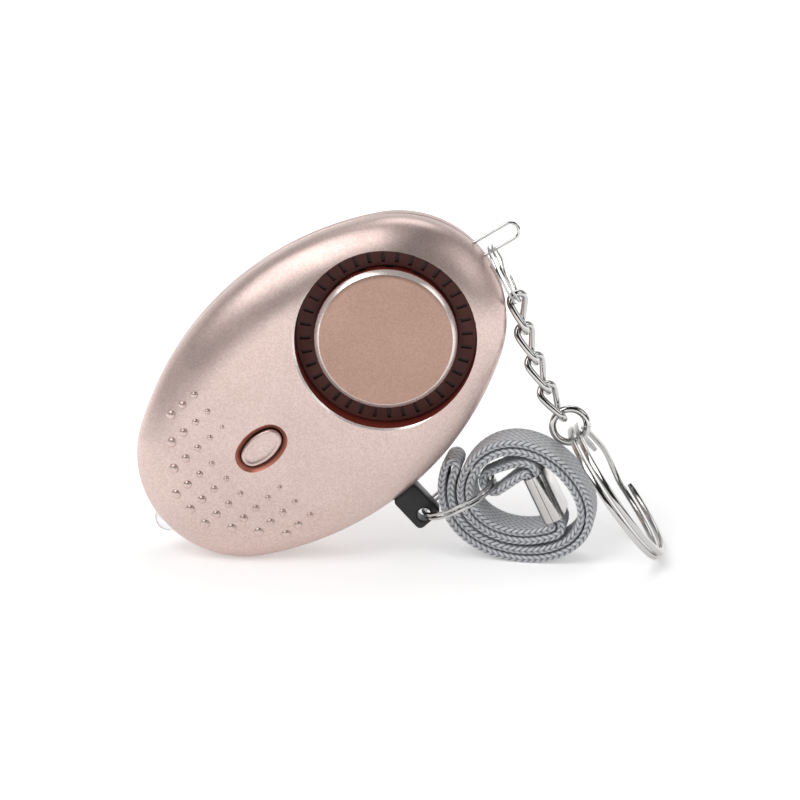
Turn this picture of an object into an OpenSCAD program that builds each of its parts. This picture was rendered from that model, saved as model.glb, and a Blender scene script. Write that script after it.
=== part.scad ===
// Personal safety alarm: an oval two-shell case standing on its edge, with a siren, a light,
// a pull pin on a wrist strap and a key ring on a short chain. Millimetres, +Z up, front to -Y.

/* [Case] */
// Length of the oval case
case_l = 90; // [82:1:100]
// Width of the oval case across its middle
case_w = 57.5; // [54:0.5:62]
// Radius of the case's two rounded ends
case_end_r = 22.6; // [21:0.2:24]
// Lean of the case's long axis above the table
case_tilt = 42; // [36:1:48]
// Depth of the front shell
front_depth = 10; // [9:0.5:12]
// Depth of the rear shell
rear_depth = 12; // [11:0.5:14]
// Height of the upright band on each shell's rim
rim_band = 2.4; // [1.6:0.2:3]
// Radius of the rounded edge above the band
edge_r = 5; // [4:0.5:6]
// Thickness of both shells
wall = 1.8; // [1.4:0.1:2.2]
// Chamfer of each shell along the parting line
seam_chamfer = 0.35; // [0.2:0.05:0.6]
// Radius of the shells' screw bosses
boss_r = 2.6; // [2.4:0.1:3]
// Width of the notch beside the bail
notch_w = 10.4; // [8:0.2:10.4]
// Depth of the notch beside the bail
notch_depth = 1.3; // [0.8:0.1:1.6]
// Height of the notch above the parting line
notch_h = 3.6; // [2:0.2:5]

/* [Dots] */
// Width of the outermost raised dots
dot_d = 2.1; // [1.6:0.1:2.4]
// Height of a raised dot
dot_h = 0.5; // [0.3:0.05:0.7]
// Distance between dots along a row
dot_pitch = 3.5; // [3:0.1:4]
// Distance between rows
dot_row = 4.46; // [4:0.02:5]
// Shrinkage of each dot towards the button
dot_fall = 0.3; // [0.1:0.05:0.4]

/* [Siren] */
// Radius of the round siren cap
cap_r = 14.9; // [13.5:0.1:15.6]
// Depth of the cap's face below the case's front
cap_drop = 1; // [0.4:0.1:2]
// Width of the cap's bright bevel
cap_bevel = 0.9; // [0.5:0.1:1.4]
// Thickness of the cap
cap_wall = 1.4; // [1:0.1:2]
// Number of sound slots round the cap's skirt
cap_slots = 16; // [8:2:24]
// Radius of the groove round the cap
groove_r = 18.9; // [18:0.1:19.6]
// Depth of the groove
groove_depth = 5.5; // [4:0.1:6]
// Thickness of the siren well's floor and wall
well_wall = 1.5; // [1.2:0.1:2]
// Thickness of the grille in the groove
grille_t = 0.7; // [0.5:0.1:1]
// Number of slots in the grille
grille_slots = 36; // [24:4:48]
// Radius of the sound port behind the cap
port_r = 10.5; // [8:0.5:11.5]
// Radius of the sounder disc
piezo_r = 13.5; // [12:0.5:14]
// Height of the sound chamber behind the well
chamber_h = 5.5; // [4:0.5:6.5]

/* [Button and light] */
// Length of the button's oval head
button_l = 10; // [9:0.2:11]
// Width of the button's oval head
button_w = 5.8; // [5.2:0.1:6.4]
// Travel of the button
button_travel = 0.5; // [0.3:0.1:0.5]
// Width of the chamfer round the button's opening
button_chamfer = 0.95; // [0.5:0.05:1.2]
// Side of the switch under the button
switch_side = 6; // [5:0.5:7]
// Radius of the clear lens
lens_r = 3; // [2.5:0.1:3.4]
// Height of the lens's dome outside the case
lens_out = 2; // [1.2:0.1:2.6]
// Radius of the light-emitting diode
led_r = 1.5; // [1.2:0.1:1.8]

/* [Board and battery] */
// Thickness of the circuit board
board_t = 1.2; // [0.8:0.1:1.6]
// Gap left between the board's edge and the case's outline
board_inset = 4.5; // [4:0.1:6]
// Radius of a button cell
cell_r = 5.8; // [5.4:0.1:5.8]
// Height of a button cell
cell_h = 5.4; // [5:0.1:5.4]
// Length of the battery cover
cover_l = 28; // [26:0.5:29]
// Width of the battery cover
cover_w = 15.5; // [15:0.5:18]
// Thickness of the battery cover
cover_t = 1.4; // [1.2:0.1:1.6]
// Corner radius of the battery cover
cover_corner = 3; // [1:0.5:5]
// Radius of the screw shanks
screw_r = 0.9; // [0.7:0.05:1]
// Radius of the screw heads
screw_head_r = 1.7; // [1.5:0.1:1.8]
// Height of the screw heads
screw_head_h = 1; // [0.8:0.1:1.2]

/* [Pull pin] */
// Width of the pin's handle
pin_w = 6.3; // [5.6:0.1:7]
// Depth of the pin's handle, front to back
pin_d = 4.4; // [4:0.1:5]
// Length of the pin's handle outside the case
pin_out = 9.1; // [8.6:0.1:10]
// Radius of the handle's corners
pin_corner = 1.2; // [0.6:0.1:1.8]
// Distance of the pin's cross hole from the case
pin_hole_out = 7; // [6.6:0.1:7.2]
// Radius of the pin's cross hole
pin_hole_r = 1.45; // [1.4:0.05:1.6]
// Width of the pin's blade
blade_w = 5; // [4:0.1:5.2]
// Thickness of the pin's blade
blade_t = 1.2; // [0.8:0.1:1.4]
// Length of the blade inside the case
blade_l = 11; // [9:0.5:11]
// Thickness of the alarm's contact leaves
leaf_t = 0.25; // [0.2:0.05:0.3]

/* [Strap] */
// Width of the braided strap
strap_w = 9.6; // [8.8:0.2:9.6]
// Thickness of the braided strap
strap_t = 1.4; // [1.2:0.1:1.4]
// Width of the strap where it is gathered on the pin's ring
strap_gather_w = 4.6; // [4:0.2:5]
// Length of the steel ferrule
ferrule_l = 10.8; // [10:0.2:10.8]
// Wall of the steel ferrule
ferrule_wall = 0.5; // [0.4:0.05:0.6]
// Mean diameter of the pin's ring
pin_ring_d = 16.8; // [16.4:0.1:17]
// Thickness of the pin's ring, across its wire
pin_ring_radial = 0.8; // [0.6:0.05:0.9]
// Height of one turn of the pin's ring
pin_ring_axial = 0.6; // [0.5:0.05:0.7]

/* [Chain and key ring] */
// Radius of the bail's wire
bail_wire_r = 0.375; // [0.3:0.025:0.45]
// Distance between the bail's legs
bail_legs = 3.5; // [3.2:0.1:4]
// Length of the bail outside the case
bail_out = 9.5; // [8:0.5:11]
// Mean diameter of the ring on the bail
bail_ring_d = 12.8; // [12.4:0.1:13.2]
// Thickness of the bail's ring, across its wire
bail_ring_radial = 0.8; // [0.7:0.05:0.9]
// Height of one turn of the bail's ring
bail_ring_axial = 0.5; // [0.4:0.05:0.55]
// Radius of the chain's wire
link_wire_r = 0.75; // [0.6:0.05:0.8]
// Length of a chain link along its wire's middle
link_l = 8.6; // [8.2:0.1:9]
// Width of a chain link along its wire's middle
link_w = 4.2; // [4:0.1:4.6]
// Twist of a chain link from end to end
link_twist = 90; // [60:5:90]
// Mean radius of the jump ring
jump_r = 3.7; // [3.5:0.1:4]
// Radius of the jump ring's wire
jump_wire_r = 0.8; // [0.6:0.05:0.9]
// Outer diameter of the key ring
key_ring_d = 34; // [32:0.5:36]
// Thickness of the key ring, across its wire
key_ring_radial = 1.6; // [1.3:0.1:1.8]
// Height of one turn of the key ring
key_ring_axial = 1.25; // [1:0.05:1.4]

/* [Fits] */
// Gap round parts that sit in an opening
fit_gap = 0.2; // [0.1:0.05:0.3]
// Gap between parts that move on each other
move_gap = 0.3; // [0.25:0.05:0.4]
// Gap between hooked rings and links
hook_gap = 0.1; // [0.05:0.05:0.2]
// Gap between the turns of the split rings
turn_gap = 0.42; // [0.42:0.02:0.6]
// Gap between neighbouring layers of the strap
layer_gap = 0.5; // [0.45:0.05:0.7]

/* [Hidden] */
$fn = 64;

ROSE = [0.80, 0.56, 0.49];
STEEL = [0.78, 0.78, 0.80];
BLACK = [0.05, 0.05, 0.06];
SLATE = [0.32, 0.38, 0.46];
CLEAR = [0.92, 0.94, 0.96];
GREEN = [0.10, 0.32, 0.16];
BRASS = [0.80, 0.64, 0.30];
GREY = [0.25, 0.22, 0.21];

reach = 60;
overcut = 1;
overlap = 1.5;
edge_turn = 45;
notch_turn = 22.5;
dot_root = 1.3;
outer_steps = 6;
inner_steps = 3;
end_steps = 14;
side_steps = 10;

// Oval outline: ends about (+-end_h, 0), sides about (0, -+side_drop)
end_h = case_l / 2 - case_end_r;
side_r = (end_h * end_h + case_w * case_w / 4 - case_end_r * case_end_r) / (case_w - 2 * case_end_r);
side_drop = side_r - case_w / 2;
end_turn = atan2(side_drop, end_h);

// Place of the case: its lower end's arc stands on the table below x = 0 before centring
case_at = [end_h * cos(case_tilt), 0, case_end_r + end_h * sin(case_tilt)];
u_dir = [cos(case_tilt), 0, sin(case_tilt)];
v_dir = [-sin(case_tilt), 0, cos(case_tilt)];

// Heights inside the case, measured from the parting plane towards the front
siren_u = 19;
groove_floor = front_depth - groove_depth;
well_bottom = groove_floor - well_wall;
cap_top = front_depth - cap_drop;
button_u = -16.1;
board_gap = 0.2;
board_top = well_bottom - board_gap;
board_bottom = board_top - board_t;
board_end = 1;
post_r = 1.2;
post_spots = [[-10, 18], [-10, -14], [-29, 0]];
boss_from_low_tip = 14;
boss_from_high_tip = 6.5;
boss_low_v = 13;
boss_high_v = 8;
boss_spots = concat(
    [for (side = [1, -1]) [boss_from_low_tip - case_l / 2, side * boss_low_v]],
    [for (side = [1, -1]) [case_l / 2 - boss_from_high_tip, side * boss_high_v]]
);
boss_pad = 0.7;
screw_seat = 4.5;
screw_grip = 4.6;
thread_gap = 0.05;

// Button: its flange lies under the front shell and its top is flush with the front
button_end_r = 2.3;
button_flange = 1;
button_flange_t = 0.8;
button_flange_top = front_depth - wall - fit_gap;
button_bottom = button_flange_top - button_flange_t;
button_rim = 0.45;
plunger_r = 1.7;
plunger_h = 0.4;
plunger_top = button_bottom - button_travel - hook_gap;

// Light and lens at the lower end of the case
lens_flange = 0.8;
lens_flange_t = 1;
lens_dome_r = (lens_r * lens_r + lens_out * lens_out) / (2 * lens_out);
flange_r = lens_r + lens_flange;
end_in_r = case_end_r - wall;
edge_in_r = edge_r - wall;
flange_over = max(0, flange_r - rim_band);
flange_sag = max(end_in_r - sqrt(end_in_r * end_in_r - flange_r * flange_r),
    edge_in_r - sqrt(edge_in_r * edge_in_r - flange_over * flange_over));
lens_seat = -case_l / 2 + wall + flange_sag + fit_gap;
lens_bore_r = led_r + move_gap;
lens_bore_end = 0.6;
led_back = 5;
led_lead_r = 0.25;
led_lead_gap = 1.27;

// Battery: three cells in a row along the case behind the board
cell_count = 3;
cell_fit = 0.35;
cell_edge = 0.3;
cover_seat = rear_depth - cover_t;
cell_n = -cover_seat + cell_fit + cell_r;
plate_t = 0.4;
leaf_room = 2.6;
bay_right = -3.2;
stack_right = bay_right - plate_t;
stack_left = stack_right - cell_count * cell_h;
bay_left = stack_left - leaf_room - plate_t;
bay_half = cell_r + cell_fit;
bay_wall = 1.2;
bay_top = -2;
cover_u = -10;
cover_pad = 1.2;
cover_border = 2;
cover_screw_u = 1.2;
cover_boss_r = 2.2;
cover_boss_top = -5.4;
cover_screw_l = 5;
contact_w = 6;
contact_low = -9;
cover_ridges = [-22, -20.5, -19];
ridge_w = 0.6;
ridge_l = 8;
ridge_d = 0.4;

// Sounder in the chamber that is glued behind the siren well
chamber_r = piezo_r + 3;
chamber_wall = 1.2;
ledge_drop = 1.5;
ledge_w = 1.2;
piezo_t = 0.3;
crystal_r = piezo_r - 4;
crystal_t = 0.25;

// Pull pin on the lower long side
pin_u = -2.4;
pin_v = -(sqrt(side_r * side_r - pin_u * pin_u) - side_drop);
neck_w = 5.4;
neck_d = 3.2;
neck_in = 1;
leaf_w = 3;
leaf_gap = 0.25;
leaf_tip = 5;
leaf_bends = [-11, -9];
pin_hole = case_at + pin_u * u_dir + (pin_v - pin_hole_out) * v_dir;

// Ring on the pin, rising to the right towards the strap's small loop
pin_ring_rise = 27;
pin_ring_far = pin_hole + pin_ring_d * upright(pin_ring_rise);

// Strap route in the coil's own upright plane: [across, up]
strap_yaw = 9;
coil_centre = [59.6, 14.7];
coil_half_w = 15.7;
coil_half_h = 14;
coil_closing = 4.05;
coil_lean = 0.3;
coil_from = 156;
coil_to = 645;
coil_step = 15;
fold_r = 1.2;
fold_turn = 50;
fold_steps = 8;
entry_end = [67.6, 9.3];
entry_lead = 0.7;
exit_lead = 0.6;
ferrule_heading = 116;
entry_pull = 3.6;
entry_push = 2;
loop_pull = 2.4;
loop_push = 5.5;
loop_heading = 212;
loop_r = 2.3;
bend_steps = 10;
butt_gap = 0.4;
layer_pitch = strap_t + layer_gap;
strap_edge = 0.5;
coil_far = [pin_ring_far[0], pin_ring_far[2]];

// Bail and chain: each piece hangs on the one before, headings below the horizontal
bail_heading = 31;
bail_in = 5;
bail_foot = 1.8;
bail_hook = 2;
anchor_in = 6.5;
anchor_half = 4.6;
anchor_h = 3.4;
bail_dir = upright(bail_heading);
bail_side = upright(bail_heading + 90);
bail_base = case_at + case_l / 2 * u_dir;
hook_at = bail_base - bail_legs / 2 * bail_side + bail_hook * bail_dir;
bail_ring_heading = 63;
link_headings = [77, 71, 67, 60];
jump_heading = 45;
key_heading = 54.3;
link_phase = 22;
twist_room = 0.15;
bail_half_t = bail_ring_axial + turn_gap / 2;
key_half_t = key_ring_axial + turn_gap / 2;
link_r = link_w / 2;
link_arch = arch_room(link_r - link_wire_r, bail_half_t);
jump_arch = arch_room(jump_r - jump_wire_r, key_half_t);
bail_ring_top = hook_at - (bail_wire_r + bail_ring_radial / 2 + hook_gap) * falling(bail_ring_heading);
bail_ring_low = bail_ring_top + bail_ring_d * falling(bail_ring_heading);
link_1_hang = bail_ring_radial / 2 + link_wire_r + hook_gap + link_arch + twist_room;
link_1_top = bail_ring_low - link_1_hang * falling(link_headings[0]);
link_1_low = link_1_top + link_l * falling(link_headings[0]);
link_2_top = link_1_low - (2 * link_wire_r + hook_gap) * falling(link_headings[1]);
link_2_low = link_2_top + link_l * falling(link_headings[1]);
link_3_top = link_2_low - (2 * link_wire_r + hook_gap) * falling(link_headings[2]);
link_3_low = link_3_top + link_l * falling(link_headings[2]);
link_4_top = link_3_low - (2 * link_wire_r + hook_gap) * falling(link_headings[3]);
link_4_low = link_4_top + link_l * falling(link_headings[3]);
jump_top = link_4_low - (link_wire_r + jump_wire_r + hook_gap) * falling(jump_heading);
jump_at = jump_top + jump_r * falling(jump_heading);
key_mean_d = key_ring_d - key_ring_radial;
key_hold = jump_at + jump_r * falling(key_heading);
key_hang = jump_wire_r + key_ring_radial / 2 + hook_gap + jump_arch;
key_top = key_hold - key_hang * falling(key_heading);
key_at = key_top + key_mean_d / 2 * falling(key_heading);
key_right = key_at[0] + key_ring_d / 2 * cos(key_heading) + key_half_t * sin(key_heading);

// The origin lies below the middle of the whole object's length
origin_x = (key_right - case_end_r) / 2;

// Winding of the split rings and cuts of the chain's links
split_jog = 40;
split_step = 15;
key_split_step = 10;
jog_side = 70;
link_arc = 8;
link_run = 5;
link_sides = 8;

function upright(a) = [cos(a), 0, sin(a)];
function falling(a) = [cos(a), 0, -sin(a)];
function unit(p) = p / norm(p);

// Room that a flat ring of some half thickness needs under a round arch
function arch_room(r, half) = r - sqrt(r * r - half * half);

function ease(x) = x * x * (3 - 2 * x);
function bend(p, q, r, s, x) =
    pow(1 - x, 3) * p + 3 * x * pow(1 - x, 2) * q + 3 * x * x * (1 - x) * r + pow(x, 3) * s;

// Direction of a path at its point i
function heading_at(path, i, closed) =
    let (n = len(path))
    unit(closed ? path[(i + 1) % n] - path[(i + n - 1) % n] : path[min(i + 1, n - 1)] - path[max(i - 1, 0)]);

// Surface of the front shell above a spot: its arc's centre, its inset from the outline, its height
function on_end(p) = abs(p[1]) <= (abs(p[0]) - end_h) * tan(end_turn);
function arc_home(p) = on_end(p) ? [sign(p[0]) * end_h, 0] : [0, p[1] < 0 ? side_drop : -side_drop];
function inset_of(p) = (on_end(p) ? case_end_r : side_r) - norm(p - arc_home(p));
function height_of(p) =
    let (r = shoulder_radius(front_depth), c = shoulder_centre(front_depth), x = max(0, -inset_of(p) - c[0]))
    c[1] + sqrt(r * r - x * x);

// Mid-line of the doubled strap: wound turns by a formula, then the run into the ferrule
function coil_point(t) =
    let (k = (t - 180) / 360, a = coil_half_w - coil_closing * k, b = coil_half_h - coil_closing * k)
    [
        coil_centre[0] + a * cos(t) - coil_lean * b * sin(t) * (1 + cos(t)) / 2,
        coil_centre[1] + b * sin(t)
    ];
turns = [for (t = [coil_from:coil_step / 2:coil_to]) coil_point(t)];
turn_end = turns[len(turns) - 1];
turn_way = unit(coil_point(coil_to + 1) - coil_point(coil_to - 1));
ferrule_way = [cos(ferrule_heading), sin(ferrule_heading)];
ferrule_side = [-ferrule_way[1], ferrule_way[0]];
ferrule_foot = entry_end + entry_lead * ferrule_way;
ferrule_head = ferrule_foot + ferrule_l * ferrule_way;
entry = [
    for (i = [1:bend_steps])
    bend(turn_end, turn_end + entry_pull * turn_way, entry_end - entry_push * ferrule_way, entry_end,
        i / bend_steps)
];
coil_mid = concat(turns, entry, [ferrule_foot]);
function side_of(path, i) = let (d = heading_at(path, i, false)) [-d[1], d[0]];
function fold_open(i) = max(0, 1 - i * coil_step / 2 / fold_turn);
function coil_half(i) = layer_pitch / 2 + (fold_r - layer_pitch / 2) * pow(fold_open(i), 2);
inner_layer = [for (i = [0:len(coil_mid) - 1]) coil_mid[i] + coil_half(i) * side_of(coil_mid, i)];
outer_layer = [for (i = [0:len(coil_mid) - 1]) coil_mid[i] - coil_half(i) * side_of(coil_mid, i)];
fold_side = side_of(coil_mid, 0);
fold_a = atan2(fold_side[1], fold_side[0]);
fold = [
    for (i = [1:fold_steps - 1])
    coil_mid[0] + fold_r * [cos(fold_a + 180 * i / fold_steps), sin(fold_a + 180 * i / fold_steps)]
];
coil_butt = ferrule_foot + (ferrule_l - butt_gap) / 2 * ferrule_way;
coil_path = concat(
    [coil_butt + layer_pitch / 2 * ferrule_side],
    [for (i = [len(inner_layer) - 1:-1:0]) inner_layer[i]],
    fold,
    outer_layer,
    [coil_butt - layer_pitch / 2 * ferrule_side]
);

// Small loop of the strap from the ferrule round the pin's ring
loop_way = [cos(loop_heading), sin(loop_heading)];
loop_start = ferrule_head + exit_lead * ferrule_way;
loop_mid = [
    for (i = [0:bend_steps])
    bend(loop_start, loop_start + loop_pull * ferrule_way, coil_far - loop_push * loop_way, coil_far,
        i / bend_steps)
];
function loop_half(i) = layer_pitch / 2 + (loop_r - layer_pitch / 2) * pow(i / bend_steps, 1.5);
loop_left = [for (i = [0:bend_steps]) loop_mid[i] + loop_half(i) * side_of(loop_mid, i)];
loop_right = [for (i = [0:bend_steps]) loop_mid[i] - loop_half(i) * side_of(loop_mid, i)];
loop_side = side_of(loop_mid, bend_steps);
loop_a = atan2(loop_side[1], loop_side[0]);
loop_turn = [
    for (i = [1:fold_steps - 1])
    coil_far + loop_r * [cos(loop_a - 180 * i / fold_steps), sin(loop_a - 180 * i / fold_steps)]
];
loop_butt = ferrule_head - (ferrule_l - butt_gap) / 2 * ferrule_way;
loop_path = concat(
    [for (p = [loop_butt, ferrule_head]) p + layer_pitch / 2 * ferrule_side],
    loop_left,
    loop_turn,
    [for (i = [bend_steps:-1:0]) loop_right[i]],
    [for (p = [ferrule_head, loop_butt]) p - layer_pitch / 2 * ferrule_side]
);
function gathered(i) = strap_gather_w / strap_w
    + (1 - strap_gather_w / strap_w) * ease(min(1, 1.4 * abs(2 * i / (len(loop_path) - 1) - 1)));

// From the coil's plane to the object's frame; the plane turns about the far end of the pin's ring
function from_coil(p) = [
    coil_far[0] + (p[0] - coil_far[0]) * cos(strap_yaw),
    -(p[0] - coil_far[0]) * sin(strap_yaw),
    p[1]
];
strap_axis = [sin(strap_yaw), cos(strap_yaw), 0];

// Least gap of the coiled strap to itself, on the points of its path
near_skip = 8;
ferrule_skip = 4;
coil_last = len(coil_path) - 1;
coil_gap = min([
    for (i = [ferrule_skip:coil_last - ferrule_skip - near_skip])
    for (j = [i + near_skip:coil_last - ferrule_skip])
    norm(coil_path[i] - coil_path[j])
]) - strap_t;
echo(strap_coil_least_gap = coil_gap);

// Two-turn split ring: one flat layer, a jog, then the second layer
function split_rise(a) = a <= 360 ? -0.5 : a >= 360 + split_jog ? 0.5 : ease((a - 360) / split_jog) - 0.5;

function flat_section(hx, hy, c) = [
    [hx, c - hy], [hx, hy - c], [hx - c, hy], [c - hx, hy],
    [-hx, hy - c], [-hx, c - hy], [c - hx, -hy], [hx - c, -hy]
];
function round_section(r, n) = [for (i = [0:n - 1]) r * [cos(360 * i / n), sin(360 * i / n)]];
strap_section = [
    [strap_t / 2, strap_edge - strap_w / 2], [strap_t / 2, strap_w / 2 - strap_edge], [0, strap_w / 2],
    [-strap_t / 2, strap_w / 2 - strap_edge], [-strap_t / 2, strap_edge - strap_w / 2], [0, -strap_w / 2]
];

// Solid swept along a path; the section's x follows across, its y is scaled by breadth
module sweep(path, across, shape, closed = false, breadth = []) {
    n = len(path);
    m = len(shape);
    points = [
        for (i = [0:n - 1])
        let (along = unit(cross(heading_at(path, i, closed), across[i])), k = len(breadth) > 0 ? breadth[i] : 1)
        for (s = shape)
        path[i] + s[0] * across[i] + s[1] * k * along
    ];
    sides = [
        for (i = [0:closed ? n - 1 : n - 2])
        for (j = [0:m - 1])
        let (a = i * m + j, b = i * m + (j + 1) % m, c = (i + 1) % n * m + (j + 1) % m, d = (i + 1) % n * m + j)
        each [[a, d, c], [a, c, b]]
    ];
    caps = closed ? [] : [
        for (j = [1:m - 2])
        each [[0, j, j + 1], [(n - 1) * m, (n - 1) * m + j + 1, (n - 1) * m + j]]
    ];
    polyhedron(points = points, faces = concat(sides, caps), convexity = 8);
}

// Two-turn split ring about a centre; first points from the centre to the ring's held side
module split_ring(centre, first, mean_d, radial, axial, step) {
    second = [0, 1, 0];
    axis = cross(first, second);
    angles = [split_jog:step:720];
    radials = [for (a = angles) cos(a + jog_side) * first + sin(a + jog_side) * second];
    path = [
        for (a = angles)
        centre + mean_d / 2 * (cos(a + jog_side) * first + sin(a + jog_side) * second)
            + (axial + turn_gap) * split_rise(a) * axis
    ];
    sweep(path, radials, flat_section(radial / 2, axial / 2, min(radial, axial) / 5));
}

// Flat line of a chain link's wire
function link_loop() = concat(
    [for (i = [0:link_arc]) let (a = 180 * i / link_arc) [-(link_l / 2 - link_r) - link_r * sin(a), -link_r * cos(a)]],
    [for (i = [1:link_run]) [(link_l - link_w) * (i / (link_run + 1) - 0.5), link_r]],
    [for (i = [0:link_arc]) let (a = 180 * i / link_arc) [link_l / 2 - link_r + link_r * sin(a), link_r * cos(a)]],
    [for (i = [1:link_run]) [(link_l - link_w) * (0.5 - i / (link_run + 1)), -link_r]]
);

// Twisted chain link hanging from its top point along a heading
module chain_link(top, heading) {
    down = falling(heading);
    front = [0, -1, 0];
    left = cross(down, front);
    middle = top + link_l / 2 * down;
    flat = link_loop();
    path = [
        for (p = flat)
        let (turn = link_phase - link_twist * p[0] / link_l)
        middle + p[0] * down + p[1] * (cos(turn) * front + sin(turn) * left)
    ];
    across = [
        for (i = [0:len(path) - 1])
        let (d = heading_at(path, i, true), out = path[i] - middle)
        unit(out - (out * d) * d)
    ];
    sweep(path, across, round_section(link_wire_r, link_sides), true);
}

// Puts children from the case's frame (along, across, front) into the object's frame
module in_case() {
    translate(case_at - [origin_x, 0, 0])
        rotate([0, -case_tilt, 0])
            rotate([90, 0, 0])
                children();
}

module centred() {
    translate([-origin_x, 0, 0]) children();
}

// Points of an arc from one angle to another
function arc_points(c, r, a0, a1, n) = [for (i = [0:n]) let (a = a0 + (a1 - a0) * i / n) c + r * [cos(a), sin(a)]];

// Centre of the shoulder's arc in a shell's profile: x out from the outline, y up from the parting plane
function shoulder_radius(depth) = (depth - rim_band - edge_r * sin(edge_turn)) / (1 - sin(edge_turn));
function shoulder_centre(depth) =
    [-edge_r, rim_band] + (edge_r - shoulder_radius(depth)) * [cos(edge_turn), sin(edge_turn)];

// Profile of one shell from its parting plane to its flat
function shell_profile(depth, inset) =
    let (
        steps = inset > 0 ? inner_steps : outer_steps,
        c = shoulder_centre(depth),
        foot = inset > 0 ? [[-inset, -overcut]] : [[-seam_chamfer, 0], [0, seam_chamfer]]
    )
    concat(
        foot,
        arc_points([-edge_r, rim_band], edge_r - inset, 0, edge_turn, steps),
        [
            for (i = [1:steps])
            let (a = edge_turn + (90 - edge_turn) * i / steps)
            c + (shoulder_radius(depth) - inset) * [cos(a), sin(a)]
        ]
    );

// Arcs of an oval: end centres, end radius, side radius, side centres and the ends' half-turn
function oval_arcs(l, w, r) =
    let (h = l / 2 - r, big = (h * h + w * w / 4 - r * r) / (w - 2 * r))
    [h, r, big, big - w / 2, atan2(big - w / 2, h)];

// An oval's outline moved out by x, at height z
function oval_ring(o, x, z) = [
    for (half = [1, -1])
    each concat(
        [
            for (i = [0:end_steps - 1])
            let (a = o[4] * (2 * i / end_steps - 1))
            [half * (o[0] + (o[1] + x) * cos(a)), half * (o[1] + x) * sin(a), z]
        ],
        [
            for (i = [0:side_steps - 1])
            let (a = o[4] + (180 - 2 * o[4]) * i / side_steps)
            [half * (o[2] + x) * cos(a), half * ((o[2] + x) * sin(a) - o[3]), z]
        ]
    )
];

// Solid through rings of points laid over each other
module loft(rings) {
    n = len(rings[0]);
    m = len(rings);
    sides = [
        for (i = [0:m - 2])
        for (j = [0:n - 1])
        let (k = (j + 1) % n)
        [i * n + j, (i + 1) * n + j, (i + 1) * n + k, i * n + k]
    ];
    polyhedron(
        points = [for (ring = rings) each ring],
        faces = concat(sides, [[for (j = [0:n - 1]) j]], [[for (j = [n - 1:-1:0]) (m - 1) * n + j]]),
        convexity = 4
    );
}

module beyond(x) {
    intersection() {
        children();
        translate([x, -reach]) square([4 * reach, 2 * reach]);
    }
}

// Carries a profile round a four-arc oval
module oval_sweep(l, w, r) {
    h = l / 2 - r;
    big = (h * h + w * w / 4 - r * r) / (w - 2 * r);
    drop = big - w / 2;
    turn = atan2(drop, h);
    for (half = [0, 180]) {
        rotate([0, 0, half]) {
            translate([h, 0, 0])
                rotate([0, 0, -turn])
                    rotate_extrude(angle = 2 * turn)
                        beyond(0) translate([r, 0]) children();
            translate([0, -drop, 0])
                rotate([0, 0, turn])
                    rotate_extrude(angle = 180 - 2 * turn)
                        beyond(drop - overlap) translate([big, 0]) children();
        }
    }
}

module oval_2d(l, w, r) {
    h = l / 2 - r;
    big = (h * h + w * w / 4 - r * r) / (w - 2 * r);
    drop = big - w / 2;
    turn = atan2(drop, h);
    translate([h, 0]) circle(r = r);
    translate([-h, 0]) circle(r = r);
    intersection() {
        translate([0, -drop]) circle(r = big);
        translate([0, drop]) circle(r = big);
        square([2 * (h + r * cos(turn)), 2 * w], center = true);
    }
}

module oval_plate(l, w, r, low, high) {
    translate([0, 0, low]) linear_extrude(height = high - low) oval_2d(l, w, r);
}

// One shell filled in
module shell_solid(depth, inset = 0) {
    outline = oval_arcs(case_l, case_w, case_end_r);
    loft([for (p = shell_profile(depth, inset)) oval_ring(outline, p[0], p[1])]);
}

// Hollow of a shell, less the children that stand in it
module shell_hollow(depth) {
    difference() {
        shell_solid(depth, wall);
        children();
    }
}

module tube(p, r, low, high) {
    translate([p[0], p[1], low]) cylinder(r = r, h = high - low);
}

module block(u0, u1, v0, v1, n0, n1) {
    translate([u0, v0, n0]) cube([u1 - u0, v1 - v0, n1 - n0]);
}

// Holes that both shells share at the parting plane
module rim_openings() {
    translate([-case_l / 2 - overcut, 0, 0])
        rotate([0, 90, 0]) cylinder(r = lens_r + fit_gap, h = overcut + wall + fit_gap + overcut);
    block(pin_u - neck_w / 2 - fit_gap, pin_u + neck_w / 2 + fit_gap, pin_v - overcut, pin_v + wall + overcut,
        -neck_d / 2 - fit_gap, neck_d / 2 + fit_gap);
    translate([case_l / 2, 0, 0]) rotate([0, 0, bail_heading - case_tilt]) {
        for (s = [-1, 1]) {
            translate([-bail_in - fit_gap, s * bail_legs / 2, 0])
                rotate([0, 90, 0]) cylinder(r = bail_wire_r + fit_gap / 2, h = bail_in + bail_out);
        }
        block(-bail_in - bail_wire_r - fit_gap, -bail_in + bail_wire_r + fit_gap, -bail_legs / 2 - bail_foot - fit_gap,
            bail_legs / 2 + bail_foot + fit_gap, -bail_wire_r - fit_gap, bail_wire_r + fit_gap);
    }
}

module anchor(n0, n1) {
    block(case_l / 2 - anchor_in, case_l / 2 + overcut, -anchor_half, anchor_half, n0, n1);
}

module notch_block(depth, n1) {
    translate([end_h, 0, 0])
        rotate([0, 0, -notch_turn])
            block(case_end_r - depth, case_end_r + 2 * overcut, -notch_w / 2, notch_w / 2, -3 * overcut, n1);
}

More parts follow.
